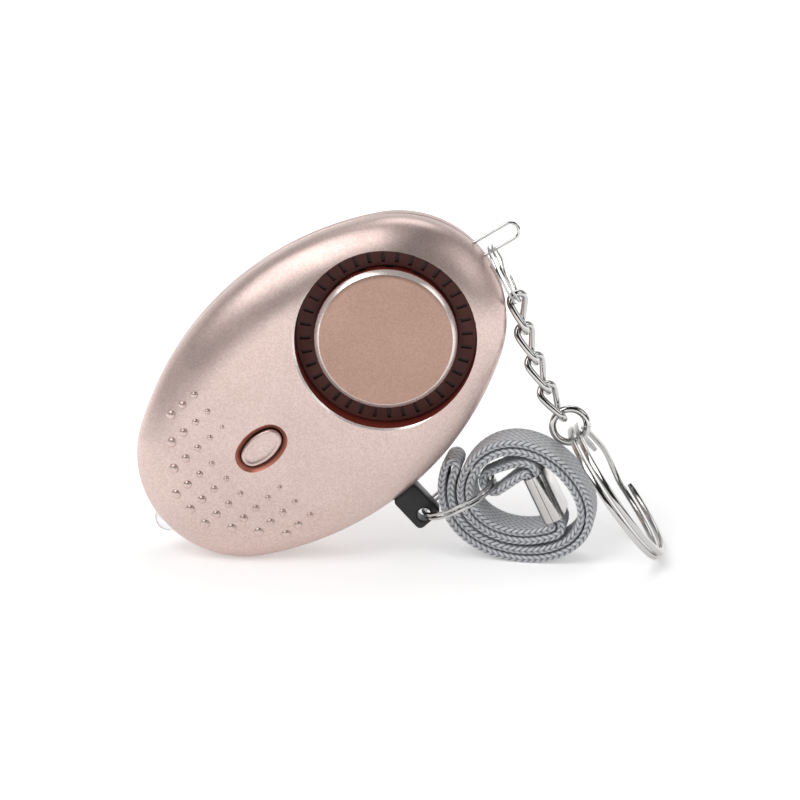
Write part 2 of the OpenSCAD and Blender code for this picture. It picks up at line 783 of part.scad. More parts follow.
// Rows of raised dots round the lower end: [row, first along, count]
dot_rows = [[0, -36.7, 4], [1, -36.7, 4], [2, -33, 5], [3, -29.4, 4], [4, -25.6, 3]];
dot_cuts = [0, 40, 65, 90];
module dot(u, v, d) {
    translate([u, v, height_of([u, v])])
        rotate_extrude()
            polygon(concat(
                [[0, -dot_root], [d / 2, -dot_root]],
                [for (a = dot_cuts) [d / 2 * cos(a), dot_h * sin(a)]]
            ));
}
module dots() {
    for (row = dot_rows) {
        for (i = [0:row[2] - 1]) {
            for (s = row[0] == 0 ? [1] : [-1, 1]) {
                dot(row[1] + i * dot_pitch, s * row[0] * dot_row, dot_d - i * dot_fall);
            }
        }
    }
}

module button_opening() {
    straight_l = button_l + 2 * move_gap;
    straight_w = button_w + 2 * move_gap;
    outline = oval_arcs(straight_l, straight_w, button_end_r + move_gap);
    translate([button_u, 0, 0]) {
        oval_plate(straight_l, straight_w, button_end_r + move_gap, front_depth - wall - overcut,
            front_depth - button_chamfer / 2);
        loft([
            oval_ring(outline, -button_chamfer / 4, front_depth - 1.25 * button_chamfer),
            oval_ring(outline, button_chamfer + overcut, front_depth + overcut)
        ]);
    }
}

module front_shell() {
    color(ROSE) in_case() {
        difference() {
            union() {
                shell_solid(front_depth);
                dots();
            }
            shell_hollow(front_depth) {
                tube([siren_u, 0], groove_r + well_wall, well_bottom, front_depth);
                for (p = boss_spots) {
                    tube(p, boss_r, -2 * overcut, front_depth);
                }
                for (p = post_spots) {
                    tube(p, post_r, board_top, front_depth);
                }
                anchor(-2 * overcut, anchor_h);
                notch_block(notch_depth + wall, notch_h + wall);
            }
            tube([siren_u, 0], groove_r, groove_floor, front_depth + overcut);
            tube([siren_u, 0], port_r, well_bottom - overcut, groove_floor + overcut);
            for (p = boss_spots) {
                tube(p, screw_r + thread_gap, -overcut, screw_grip + thread_gap);
            }
            button_opening();
            notch_block(notch_depth, notch_h);
            rim_openings();
        }
    }
}

module rear_shell() {
    recess_l = cover_l + 2 * fit_gap;
    recess_w = cover_w + 2 * fit_gap;
    color(ROSE) in_case() mirror([0, 0, 1]) {
        difference() {
            shell_solid(rear_depth);
            shell_hollow(rear_depth) {
                for (p = boss_spots) {
                    tube(p, screw_head_r + fit_gap + boss_pad, -2 * overcut, rear_depth);
                }
                block(cover_u - recess_l / 2 - cover_border, cover_u + recess_l / 2 + cover_border,
                    -recess_w / 2 - cover_border, recess_w / 2 + cover_border,
                    cover_seat - cover_pad, rear_depth);
                block(bay_left - bay_wall, bay_right + bay_wall, -bay_half - bay_wall, bay_half + bay_wall,
                    -bay_top, rear_depth);
                tube([cover_screw_u, 0], cover_boss_r, -cover_boss_top, rear_depth);
                anchor(-2 * overcut, anchor_h);
            }
            for (p = boss_spots) {
                tube(p, screw_r + fit_gap, -overcut, rear_depth);
                tube(p, screw_head_r + fit_gap, screw_seat, rear_depth + overcut);
            }
            translate([cover_u, 0, cover_seat])
                linear_extrude(height = cover_t + overcut) rounded(recess_l, recess_w, cover_corner + fit_gap);
            block(bay_left, bay_right, -bay_half, bay_half, -bay_top - overcut, rear_depth + overcut);
            tube([cover_screw_u, 0], screw_r + thread_gap, -cover_boss_top - overcut, rear_depth + overcut);
            rim_openings();
        }
    }
}

module rounded(l, w, r) {
    square([l - 2 * r, w], center = true);
    square([l, w - 2 * r], center = true);
    for (x = [-1, 1]) {
        for (y = [-1, 1]) {
            translate([x * (l / 2 - r), y * (w / 2 - r)]) circle(r = r);
        }
    }
}

module battery_cover() {
    color(ROSE) in_case() {
        difference() {
            translate([cover_u, 0, -rear_depth])
                linear_extrude(height = cover_t) rounded(cover_l, cover_w, cover_corner);
            tube([cover_screw_u, 0], screw_r + fit_gap, -rear_depth - overcut, -cover_seat + overcut);
            tube([cover_screw_u, 0], screw_head_r + fit_gap, -rear_depth - overcut, screw_head_h - rear_depth);
            for (u = cover_ridges) {
                block(u - ridge_w / 2, u + ridge_w / 2, -ridge_l / 2, ridge_l / 2, -rear_depth - overcut,
                    ridge_d - rear_depth);
            }
        }
    }
}

// Cross-head screw standing on its seat, its shank towards +n
module screw(p, seat, shank) {
    slot_w = screw_head_r / 4;
    slot_l = screw_head_r * 1.2;
    difference() {
        union() {
            tube(p, screw_head_r, seat - screw_head_h, seat);
            tube(p, screw_r, seat - screw_head_h / 2, seat + shank);
        }
        for (a = [0, 90]) {
            translate([p[0], p[1], seat - screw_head_h])
                rotate([0, 0, a]) cube([slot_l, slot_w, screw_head_h], center = true);
        }
    }
}

module battery_cover_screw() {
    color(STEEL) in_case() screw([cover_screw_u, 0], screw_head_h - rear_depth, cover_screw_l);
}

module case_screws() {
    color(STEEL) in_case() {
        for (p = boss_spots) {
            screw(p, -screw_seat, screw_seat + screw_grip);
        }
    }
}

module siren_cap() {
    slot_w = 1.6;
    slot_h = 2.2;
    color(ROSE) in_case() translate([siren_u, 0, 0]) {
        difference() {
            rotate_extrude()
                polygon([
                    [0, cap_top - cap_wall],
                    [cap_r - cap_wall, cap_top - cap_wall],
                    [cap_r - cap_wall, groove_floor],
                    [cap_r, groove_floor],
                    [cap_r, cap_top - cap_bevel],
                    [cap_r - cap_bevel, cap_top],
                    [0, cap_top]
                ]);
            for (i = [0:cap_slots - 1]) {
                rotate([0, 0, 360 * i / cap_slots])
                    block(cap_r - cap_wall - overcut, cap_r + overcut, -slot_w / 2, slot_w / 2,
                        groove_floor - overcut, groove_floor + slot_h);
            }
        }
    }
}

module siren_grille() {
    slot_w = 0.8;
    slot_l = 2.2;
    middle = (cap_r + groove_r) / 2;
    color(GREY) in_case() translate([siren_u, 0, 0]) {
        difference() {
            tube([0, 0], groove_r - fit_gap, groove_floor, groove_floor + grille_t);
            tube([0, 0], cap_r + fit_gap, groove_floor - overcut, groove_floor + grille_t + overcut);
            for (i = [0:grille_slots - 1]) {
                rotate([0, 0, 360 * i / grille_slots])
                    block(middle - slot_l / 2, middle + slot_l / 2, -slot_w / 2, slot_w / 2,
                        groove_floor - overcut, groove_floor + grille_t + overcut);
            }
        }
    }
}

module sound_chamber() {
    color(BLACK) in_case() translate([siren_u, 0, 0]) {
        rotate_extrude()
            polygon([
                [0, well_bottom - chamber_h],
                [chamber_r, well_bottom - chamber_h],
                [chamber_r, well_bottom],
                [piezo_r + fit_gap, well_bottom],
                [piezo_r + fit_gap, well_bottom - ledge_drop],
                [piezo_r - ledge_w, well_bottom - ledge_drop],
                [piezo_r - ledge_w, well_bottom - chamber_h + chamber_wall],
                [0, well_bottom - chamber_h + chamber_wall]
            ]);
    }
}

module piezo_disc() {
    seat = well_bottom - ledge_drop;
    color(BRASS) in_case() {
        tube([siren_u, 0], piezo_r, seat, seat + piezo_t);
        tube([siren_u, 0], crystal_r, seat + piezo_t, seat + piezo_t + crystal_t);
    }
}

module circuit_board() {
    color(GREEN) in_case() {
        difference() {
            intersection() {
                oval_plate(case_l - 2 * board_inset, case_w - 2 * board_inset, case_end_r - board_inset,
                    board_bottom, board_top);
                block(-case_l, board_end, -case_w, case_w, board_bottom - overcut, board_top + overcut);
            }
            for (p = boss_spots) {
                tube(p, boss_r + fit_gap, board_bottom - overcut, board_top + overcut);
            }
        }
    }
}

module led() {
    tip = lens_seat + lens_flange_t + move_gap;
    color(CLEAR) in_case() {
        translate([tip + led_r, 0, 0]) {
            sphere(r = led_r);
            rotate([0, 90, 0]) cylinder(r = led_r, h = led_back - led_r);
        }
        for (s = [-1, 1]) {
            translate([tip + led_back - led_lead_r, s * led_lead_gap, 0])
                rotate([0, 90, 0]) cylinder(r = led_lead_r, h = 2 * led_lead_r);
            tube([tip + led_back - led_lead_r, s * led_lead_gap], led_lead_r, 0, board_bottom);
        }
    }
}

module led_lens() {
    color(CLEAR) in_case() {
        difference() {
            union() {
                translate([-case_l / 2, 0, 0])
                    rotate([0, 90, 0]) cylinder(r = lens_r, h = lens_seat + lens_flange_t + case_l / 2);
                translate([lens_seat, 0, 0])
                    rotate([0, 90, 0]) cylinder(r = flange_r, h = lens_flange_t);
                intersection() {
                    translate([lens_dome_r - lens_out - case_l / 2, 0, 0]) sphere(r = lens_dome_r);
                    translate([-case_l / 2 - reach, 0, 0])
                        rotate([0, 90, 0]) cylinder(r = lens_r, h = reach + overlap);
                }
            }
            translate([lens_bore_end - case_l / 2, 0, 0])
                rotate([0, 90, 0]) cylinder(r = lens_bore_r, h = lens_seat + lens_flange_t + case_l / 2);
        }
    }
}

module led_button() {
    color(ROSE) in_case() translate([button_u, 0, 0]) {
        oval_plate(button_l + 2 * button_flange, button_w + 2 * button_flange, button_end_r + button_flange,
            button_bottom, button_flange_top);
        oval_plate(button_l, button_w, button_end_r, button_flange_top, front_depth - button_rim);
        oval_sweep(button_l, button_w, button_end_r)
            polygon([
                [-reach, front_depth - button_rim],
                [0, front_depth - button_rim],
                [-button_rim, front_depth],
                [-reach, front_depth]
            ]);
    }
}

module button_switch() {
    color(BLACK) in_case() {
        translate([button_u, 0, (board_top + plunger_top - plunger_h) / 2])
            cube([switch_side, switch_side, plunger_top - plunger_h - board_top], center = true);
        tube([button_u, 0], plunger_r, plunger_top - plunger_h, plunger_top);
    }
}

// Two spring leaves that the pin's blade holds apart, soldered to the board
module alarm_contacts() {
    leaf_low = blade_t / 2 + leaf_gap;
    leaf_start = pin_v + neck_in + wall + leaf_tip;
    color(BRASS) in_case() {
        block(pin_u - leaf_w / 2, pin_u + leaf_w / 2, leaf_start, leaf_bends[0], leaf_low, leaf_low + leaf_t);
        block(pin_u - leaf_w / 2, pin_u + leaf_w / 2, leaf_bends[0] - leaf_t, leaf_bends[0], leaf_low, board_bottom);
        block(pin_u - leaf_w / 2, pin_u + leaf_w / 2, leaf_start, leaf_bends[1], -leaf_low - leaf_t, -leaf_low);
        block(pin_u - leaf_w / 2, pin_u + leaf_w / 2, leaf_bends[1] - leaf_t, leaf_bends[1], -leaf_low - leaf_t,
            board_bottom);
    }
}

module button_cells() {
    cap_in = 0.9;
    color(STEEL) in_case() translate([stack_left, 0, cell_n]) rotate([0, 90, 0]) {
        for (i = [0:cell_count - 1]) {
            translate([0, 0, i * cell_h])
                rotate_extrude()
                    polygon([
                        [0, 0],
                        [cell_r - cap_in, 0],
                        [cell_r - cap_in, cell_edge],
                        [cell_r, 2 * cell_edge],
                        [cell_r, cell_h - cell_edge],
                        [cell_r - cell_edge, cell_h],
                        [0, cell_h]
                    ]);
        }
    }
}

module battery_contact_positive() {
    color(STEEL) in_case()
        block(bay_right - plate_t, bay_right, -contact_w / 2, contact_w / 2, contact_low, board_bottom);
}

// Plate with a bowed leaf that presses on the row of cells
module battery_contact_negative() {
    bow_h = 3;
    color(STEEL) in_case() {
        block(bay_left, bay_left + plate_t, -contact_w / 2, contact_w / 2, contact_low, board_bottom);
        translate([0, contact_w / 2, 0])
            rotate([90, 0, 0])
                linear_extrude(height = contact_w)
                    polygon([
                        [bay_left, cell_n + bow_h],
                        [bay_left + plate_t, cell_n + bow_h],
                        [stack_left - hook_gap, cell_n],
                        [bay_left + plate_t, cell_n - bow_h],
                        [bay_left, cell_n - bow_h],
                        [bay_left, cell_n - bow_h + plate_t],
                        [stack_left - hook_gap - 2 * plate_t, cell_n],
                        [bay_left, cell_n + bow_h - plate_t]
                    ]);
    }
}

module pull_pin() {
    shoulder = pin_v - fit_gap;
    color(BLACK) in_case() {
        difference() {
            translate([pin_u, (pin_v - pin_out + shoulder) / 2, -pin_d / 2])
                linear_extrude(height = pin_d) rounded(pin_w, shoulder - pin_v + pin_out, pin_corner);
            tube([pin_u, pin_v - pin_hole_out], pin_hole_r, -pin_d, pin_d);
        }
        block(pin_u - neck_w / 2, pin_u + neck_w / 2, shoulder - overlap, pin_v + wall + neck_in, -neck_d / 2,
            neck_d / 2);
        block(pin_u - blade_w / 2, pin_u + blade_w / 2, pin_v + wall, pin_v + wall + blade_l, -blade_t / 2,
            blade_t / 2);
    }
}

module pin_ring() {
    to_pin = -upright(pin_ring_rise);
    color(STEEL) centred()
        split_ring(pin_hole - pin_ring_d / 2 * to_pin, to_pin, pin_ring_d, pin_ring_radial, pin_ring_axial,
            split_step);
}

module strap(path, breadth) {
    across = [for (i = [0:len(path) - 1]) let (s = side_of(path, i)) from_coil(coil_far + s) - from_coil(coil_far)];
    sweep([for (p = path) from_coil(p)], across, strap_section, false, breadth);
}

module strap_ring_loop() {
    color(SLATE) centred() strap(loop_path, [for (i = [0:len(loop_path) - 1]) gathered(i)]);
}

module strap_coil() {
    color(SLATE) centred() strap(coil_path, []);
}

module strap_ferrule() {
    inner_half = layer_pitch / 2 + strap_t / 2 + fit_gap;
    inner_w = strap_w + 2 * fit_gap;
    outer_half = inner_half + ferrule_wall;
    outer_w = inner_w + 2 * ferrule_wall;
    bead_r = 1.2;
    color(STEEL) centred()
        translate(from_coil(ferrule_foot))
            rotate([0, 0, -strap_yaw])
                rotate([0, -ferrule_heading, 0])
                    rotate([0, 90, 0]) rotate([0, 0, 90])
                        linear_extrude(height = ferrule_l)
                            difference() {
                                rounded(outer_w, 2 * outer_half, bead_r);
                                rounded(inner_w, 2 * inner_half, bead_r - ferrule_wall);
                            }
}

// Wire hairpin; its bent feet lie in the case between the shells
module bail() {
    color(STEEL) in_case()
        translate([case_l / 2, 0, 0])
            rotate([0, 0, bail_heading - case_tilt]) {
                straight = bail_out - bail_legs / 2 - bail_wire_r;
                for (s = [-1, 1]) {
                    translate([-bail_in, s * bail_legs / 2, 0])
                        rotate([0, 90, 0]) cylinder(r = bail_wire_r, h = bail_in + straight);
                    translate([-bail_in, s * bail_legs / 2, 0])
                        rotate([-90 * s, 0, 0]) cylinder(r = bail_wire_r, h = bail_foot);
                    translate([-bail_in, s * bail_legs / 2, 0]) sphere(r = bail_wire_r);
                }
                translate([straight, 0, 0])
                    rotate([0, 0, -90])
                        rotate_extrude(angle = 180) translate([bail_legs / 2, 0]) circle(r = bail_wire_r);
            }
}

module bail_ring() {
    color(STEEL) centred()
        split_ring(bail_ring_top + bail_ring_d / 2 * falling(bail_ring_heading), -falling(bail_ring_heading),
            bail_ring_d, bail_ring_radial, bail_ring_axial, split_step);
}

module chain_link_1() {
    color(STEEL) centred() chain_link(link_1_top, link_headings[0]);
}

module chain_link_2() {
    color(STEEL) centred() chain_link(link_2_top, link_headings[1]);
}

module chain_link_3() {
    color(STEEL) centred() chain_link(link_3_top, link_headings[2]);
}

module chain_link_4() {
    color(STEEL) centred() chain_link(link_4_top, link_headings[3]);
}

// Bent wire ring, its butted ends at the right
module jump_ring() {
    butt = 4;
    color(STEEL) centred()
        translate(jump_at)
            rotate([90, 0, 0])
                rotate([0, 0, butt / 2])
                    rotate_extrude(angle = 360 - butt) translate([jump_r, 0]) circle(r = jump_wire_r);
}

module key_ring() {
    color(STEEL) centred()
        split_ring(key_at, -falling(key_heading), key_mean_d, key_ring_radial, key_ring_axial, key_split_step);
}

front_shell();
rear_shell();
battery_cover();
battery_cover_screw();
case_screws();
siren_cap();
siren_grille();
sound_chamber();
piezo_disc();
circuit_board();
led();
led_lens();
led_button();
button_switch();
alarm_contacts();
button_cells();
battery_contact_positive();
battery_contact_negative();
pull_pin();
pin_ring();
strap_ring_loop();
strap_coil();
strap_ferrule();
bail();
bail_ring();
chain_link_1();
chain_link_2();
chain_link_3();
chain_link_4();
jump_ring();
key_ring();
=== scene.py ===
import bmesh
import bpy
import numpy as np
from math import atan2, cos, hypot, pi, radians, sin, sqrt, tan
from mathutils import Matrix, Vector


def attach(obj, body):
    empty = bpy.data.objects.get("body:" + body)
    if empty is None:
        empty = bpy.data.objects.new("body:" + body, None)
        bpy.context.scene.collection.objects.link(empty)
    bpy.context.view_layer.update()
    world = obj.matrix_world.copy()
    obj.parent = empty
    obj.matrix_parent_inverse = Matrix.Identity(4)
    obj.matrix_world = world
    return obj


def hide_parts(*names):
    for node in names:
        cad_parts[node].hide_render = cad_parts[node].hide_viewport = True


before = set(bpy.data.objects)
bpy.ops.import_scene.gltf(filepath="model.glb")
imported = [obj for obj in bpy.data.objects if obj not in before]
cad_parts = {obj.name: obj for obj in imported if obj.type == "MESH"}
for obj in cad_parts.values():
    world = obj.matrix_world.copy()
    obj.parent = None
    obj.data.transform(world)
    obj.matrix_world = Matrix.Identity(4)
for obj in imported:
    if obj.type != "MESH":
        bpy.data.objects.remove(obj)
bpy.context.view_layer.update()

# Camera. A long lens about half a metre away looks a little down on the case's front, as for a
# catalogue picture. The picture's middle lies between the case and the wound strap.
MM = 0.001
ORIGIN_X = 34.2758
MIDDLE = Vector((33.5 - ORIGIN_X, 0, 34.6)) * MM
LENS, SENSOR, DISTANCE = 100, 36, 472 * MM
ELEVATION, AZIMUTH = radians(17.4), radians(1.5)
camera_data = bpy.data.cameras.new("camera")
camera_data.lens, camera_data.sensor_width = LENS, SENSOR
camera = bpy.data.objects.new("camera", camera_data)
bpy.context.collection.objects.link(camera)
away = Vector((sin(AZIMUTH) * cos(ELEVATION), -cos(AZIMUTH) * cos(ELEVATION), sin(ELEVATION)))
camera.location = MIDDLE + DISTANCE * away
camera.rotation_euler = away.to_track_quat("Z", "Y").to_euler()
bpy.context.scene.camera = camera
bpy.context.scene.view_settings.view_transform = "Standard"

# Wrist strap. One flat tubular braid of grey polyester yarn, doubled, with its fold outside and wound
# up on the table; both ends butt inside the steel ferrule. Sizes follow the strap's CAD route.
PIN_HOLE, PIN_RING_D, PIN_RING_RISE = np.array([38.7843, 9.4152]), 16.8, radians(27)
PIN_RING_FAR = PIN_HOLE + PIN_RING_D * np.array([cos(PIN_RING_RISE), sin(PIN_RING_RISE)])
STRAP_YAW = radians(9)
STRAP_W, STRAP_T, LAYER_GAP, BUTT_GAP = 9.6, 1.7, 0.2, 0.4
HALF_PITCH = (STRAP_T + LAYER_GAP) / 2
COIL_MID, COIL_HALF_W, COIL_HALF_H = np.array([59.6, 14.7]), 15.7, 14
COIL_CLOSING, COIL_LEAN, COIL_FROM, COIL_TO = 4.05, 0.3, 156, 645
FOLD_R, FOLD_TURN = 1.2, 50
ENTRY_END, ENTRY_LEAD, FERRULE_TURN, FERRULE_L = np.array([67.6, 9.3]), 0.7, radians(116), 10.8
ENTRY_PULL, ENTRY_PUSH = 3.6, 2.0
ROUTE_STEP, BEND_STEPS, FOLD_POINTS = 1.5, 30, 25
FERRULE_WAY = np.array([cos(FERRULE_TURN), sin(FERRULE_TURN)])
FERRULE_SIDE = np.array([-FERRULE_WAY[1], FERRULE_WAY[0]])
FERRULE_FOOT = ENTRY_END + ENTRY_LEAD * FERRULE_WAY
FERRULE_HEAD = FERRULE_FOOT + FERRULE_L * FERRULE_WAY


def bend(p, q, r, s, steps):
    """Points of a smooth bend from p to s."""
    x = np.linspace(0, 1, steps + 1)[:, None]
    return (1 - x) ** 3 * p + 3 * x * (1 - x) ** 2 * q + 3 * x * x * (1 - x) * r + x**3 * s


def sides_of(path):
    """Left-hand side of a flat path at each of its points."""
    way = np.gradient(path, axis=0)
    way /= np.linalg.norm(way, axis=1)[:, None]
    return np.stack([-way[:, 1], way[:, 0]], 1)


def half_turn(centre, r, side, way_round):
    """Points of a half circle that starts on the given side of its centre, without its two ends."""
    arc = atan2(side[1], side[0]) + way_round * np.linspace(0, pi, FOLD_POINTS)[1:-1]
    return centre + r * np.stack([np.cos(arc), np.sin(arc)], 1)


def coil_points(degrees):
    """Middle of the doubled strap along its closing, leaning spiral."""
    t = np.radians(degrees)
    k = (degrees - 180) / 360
    a, b = COIL_HALF_W - COIL_CLOSING * k, COIL_HALF_H - COIL_CLOSING * k
    lean = COIL_LEAN * b * np.sin(t) * (1 + np.cos(t)) / 2
    return np.stack([COIL_MID[0] + a * np.cos(t) - lean, COIL_MID[1] + b * np.sin(t)], 1)


def coil_route():
    """The doubled strap's flat route: along the inner layer, round the fold, back on the outer one."""
    degrees = np.arange(COIL_FROM, COIL_TO + ROUTE_STEP / 2, ROUTE_STEP)
    turns = coil_points(degrees)
    way = turns[-1] - turns[-2]
    way /= np.linalg.norm(way)
    pulled, pushed = turns[-1] + ENTRY_PULL * way, ENTRY_END - ENTRY_PUSH * FERRULE_WAY
    entry = bend(turns[-1], pulled, pushed, ENTRY_END, BEND_STEPS)[1:]
    middle = np.vstack([turns, entry, FERRULE_FOOT])
    opening = np.zeros(len(middle))
    opening[:len(degrees)] = np.clip(1 - (degrees - COIL_FROM) / FOLD_TURN, 0, 1) ** 2
    half = (HALF_PITCH + (FOLD_R - HALF_PITCH) * opening)[:, None]
    side = sides_of(middle)
    fold = half_turn(middle[0], FOLD_R, side[0], 1)
    butt = FERRULE_FOOT + (FERRULE_L - BUTT_GAP) / 2 * FERRULE_WAY
    return np.vstack([butt + HALF_PITCH * FERRULE_SIDE, (middle + half * side)[::-1], fold,
                      middle - half * side, butt - HALF_PITCH * FERRULE_SIDE])


EXIT_LEAD, LOOP_TURN, LOOP_R, LOOP_PULL, LOOP_PUSH, GATHER_W = 0.6, radians(212), 2.3, 2.4, 5.5, 4.6
LOOP_SWELL, GATHER_REACH = 1.5, 1.4


def loop_route():
    """Small loop from the ferrule's head round the pin's ring and back."""
    way = np.array([cos(LOOP_TURN), sin(LOOP_TURN)])
    begin = FERRULE_HEAD + EXIT_LEAD * FERRULE_WAY
    pulled, pushed = begin + LOOP_PULL * FERRULE_WAY, PIN_RING_FAR - LOOP_PUSH * way
    middle = bend(begin, pulled, pushed, PIN_RING_FAR, BEND_STEPS)
    half = (HALF_PITCH + (LOOP_R - HALF_PITCH) * np.linspace(0, 1, BEND_STEPS + 1) ** LOOP_SWELL)[:, None]
    side = sides_of(middle)
    turn = half_turn(PIN_RING_FAR, LOOP_R, side[-1], -1)
    butt = FERRULE_HEAD - (FERRULE_L - BUTT_GAP) / 2 * FERRULE_WAY
    straight = np.stack([butt, FERRULE_HEAD])
    return np.vstack([straight + HALF_PITCH * FERRULE_SIDE, middle + half * side, turn,
                      (middle - half * side)[::-1], straight[::-1] - HALF_PITCH * FERRULE_SIDE])


def from_coil(flat, across=0):
    """Points of the coil's upright plane, moved across the strap's width, in the object's frame, in mm."""
    s = flat[..., 0] - PIN_RING_FAR[0]
    x = PIN_RING_FAR[0] - ORIGIN_X + s * cos(STRAP_YAW) + across * sin(STRAP_YAW)
    return np.stack([x, across * cos(STRAP_YAW) - s * sin(STRAP_YAW), flat[..., 1] + 0 * x], -1)


# Braid: columns of slanting stitches, mirrored from column to column, run round the flat tube
COLUMNS, COLUMN_CUTS, STITCH, STITCH_CUTS = 20, 5, 1.32, 5
YARN_PROUD, BEAD_POWER, COLUMN_POWER, COLUMN_DIP = 0.2, 2.4, 2.5, 0.6


def strap_mesh(name, route, breadth=None):
    """Flat braid along a route: every stitch is a raised, slanting bead of the mesh."""
    steps = np.linalg.norm(np.diff(route, axis=0), axis=1)
    far = np.concatenate([[0], np.cumsum(steps)])
    rings = int(far[-1] / STITCH * STITCH_CUTS)
    s = np.linspace(0, far[-1], rings)
    path = np.stack([np.interp(s, far, route[:, k]) for k in (0, 1)], 1)
    side = sides_of(path)
    width = np.ones(rings) if breadth is None else breadth(s / far[-1])
    around = COLUMNS * COLUMN_CUTS
    half_w, half_t = STRAP_W / 2 - YARN_PROUD, STRAP_T / 2 - YARN_PROUD
    corner = half_t
    straight = 2 * (half_w - corner)
    total = 2 * straight + 2 * pi * corner
    place = (np.arange(around) / around * total + straight / 2 + pi * corner / 2) % total
    out, y, turn = np.zeros(around), np.zeros(around), np.zeros(around)
    for i, q in enumerate(place):
        if q < straight:
            out[i], y[i], turn[i] = half_t, q - straight / 2, 0
        elif q < straight + pi * corner:
            turn[i] = (q - straight) / corner
            out[i], y[i] = corner * cos(turn[i]), straight / 2 + corner * sin(turn[i])
        elif q < 2 * straight + pi * corner:
            out[i], y[i], turn[i] = -half_t, straight / 2 - (q - straight - pi * corner), pi
        else:
            turn[i] = pi + (q - 2 * straight - pi * corner) / corner
            out[i], y[i] = corner * cos(turn[i]), -straight / 2 + corner * sin(turn[i])
    column = np.arange(around) // COLUMN_CUTS
    x = (np.arange(around) % COLUMN_CUTS) / COLUMN_CUTS
    slant = np.where(column % 2 == 0, 1.0, -1.0)
    phase = np.arange(rings)[:, None] / STITCH_CUTS + (slant * x * COLUMN_CUTS / STITCH_CUTS)[None]
    bead = 1 - (2 * np.abs(phase - np.floor(phase) - 0.5)) ** BEAD_POWER
    yarn = bead * (1 - COLUMN_DIP * np.abs(2 * x - 1)[None] ** COLUMN_POWER)
    lift = YARN_PROUD * yarn
    offset = out[None] + lift * np.cos(turn)[None]
    across = (y[None] + lift * np.sin(turn)[None]) * width[:, None]
    flat = path[:, None, :] + offset[..., None] * side[:, None, :]
    points = from_coil(flat, across).reshape(-1, 3) * MM
    a = np.arange(rings - 1)[:, None] * around + np.arange(around)[None]
    b = np.arange(rings - 1)[:, None] * around + (np.arange(around)[None] + 1) % around
    quads = np.stack([a, b, b + around, a + around], -1).reshape(-1, 4)
    mesh = bpy.data.meshes.new(name)
    ends = [list(range(around))[::-1], list(range((rings - 1) * around, rings * around))]
    mesh.from_pydata(points.tolist(), [], quads.tolist() + ends)
    mesh.shade_smooth()
    # The beads' height, which the braid's finish also uses to paint shade between them
    mesh.attributes.new("yarn", "FLOAT", "POINT").data.foreach_set("value", yarn.ravel().astype(np.float32))
    chart = mesh.uv_layers.new(name="braid")
    loops = np.zeros(len(mesh.loops), np.int32)
    mesh.loops.foreach_get("vertex_index", loops)
    uv = np.stack([(loops % around) / COLUMN_CUTS, (loops // around) / STITCH_CUTS], 1)
    chart.data.foreach_set("uv", uv.ravel().astype(np.float32))
    return mesh, far[-1]


def new_finish(name, colour, roughness, metallic=0.0):
    """A material and its surface shader, with the values that are the same all over."""
    finish = bpy.data.materials.new(name)
    finish.use_nodes = True
    shader = finish.node_tree.nodes["Principled BSDF"]
    shader.inputs["Base Color"].default_value = (*colour, 1)
    shader.inputs["Roughness"].default_value = roughness
    shader.inputs["Metallic"].default_value = metallic
    return finish, shader


def add_node(tree, kind, place, **inputs):
    """A node with its sockets set or linked: i0 is the first, and underscores stand for spaces."""
    node = tree.nodes.new(kind)
    node.location = place
    for key, value in inputs.items():
        counted = key[0] == "i" and key[1:].isdigit()
        socket = node.inputs[int(key[1:]) if counted else key.replace("_", " ")]
        if isinstance(value, bpy.types.NodeSocket):
            tree.links.new(value, socket)
        else:
            socket.default_value = value
    return node


def ramp(tree, place, factor, stops):
    """Colours blended along a factor."""
    node = add_node(tree, "ShaderNodeValToRGB", place, Fac=factor)
    marks = node.color_ramp.elements
    for i, (at, colour) in enumerate(stops):
        mark = marks[i] if i < 2 else marks.new(at)
        mark.position, mark.color = at, (*colour, 1)
    return node.outputs["Color"]


# Braid yarn: pale blue-grey beads with fibres along each stitch; painted shade turns the colour almost black
# between the beads
braid, shader = new_finish("braided_polyester", (0.5, 0.51, 0.55), 0.75)
shader.inputs["Sheen Weight"].default_value = 0.25
shader.inputs["Sheen Roughness"].default_value = 0.5
shader.inputs["Specular IOR Level"].default_value = 0.3
tree = braid.node_tree
yarn = add_node(tree, "ShaderNodeAttribute", (-900, 200))
yarn.attribute_name = "yarn"
chart = add_node(tree, "ShaderNodeUVMap", (-1100, -200))
chart.uv_map = "braid"
fibre_way = add_node(tree, "ShaderNodeMapping", (-900, -200), Vector=chart.outputs["UV"], Scale=(14, 3, 1))
fibre = add_node(tree, "ShaderNodeTexNoise", (-700, -200), Vector=fibre_way.outputs["Vector"],
                 Scale=1.0, Detail=3.0)
# Painted shade: the colour follows the bead's height and goes almost black where the beads sink
bead_tone_painted_gap_shade = ramp(tree, (-600, 200), yarn.outputs["Fac"], [
    (0.08, (0.03, 0.032, 0.04)), (0.8, (0.76, 0.77, 0.79)), (0.34, (0.44, 0.45, 0.49))])
worn = add_node(tree, "ShaderNodeMapRange", (-500, -200), Value=fibre.outputs["Fac"],
                To_Min=0.72, To_Max=1.16)
tone = add_node(tree, "ShaderNodeMix", (-250, 200), i0=1.0)
tone.data_type, tone.blend_type = "RGBA", "MULTIPLY"
tree.links.new(bead_tone_painted_gap_shade, tone.inputs[6])
tree.links.new(worn.outputs["Result"], tone.inputs[7])
tree.links.new(tone.outputs[2], shader.inputs["Base Color"])
fuzz = add_node(tree, "ShaderNodeBump", (-250, -200), Height=fibre.outputs["Fac"],
                Strength=0.35, Distance=0.00012)
tree.links.new(fuzz.outputs["Normal"], shader.inputs["Normal"])


def place_piece(name, mesh, finish, body, node):
    """A finished mesh in the object's frame: its finish, the body it rides on and what it stands for."""
    piece = bpy.data.objects.new(name, mesh)
    bpy.context.collection.objects.link(piece)
    mesh.materials.clear()
    mesh.materials.append(finish)
    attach(piece, body)
    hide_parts(node)
    return piece


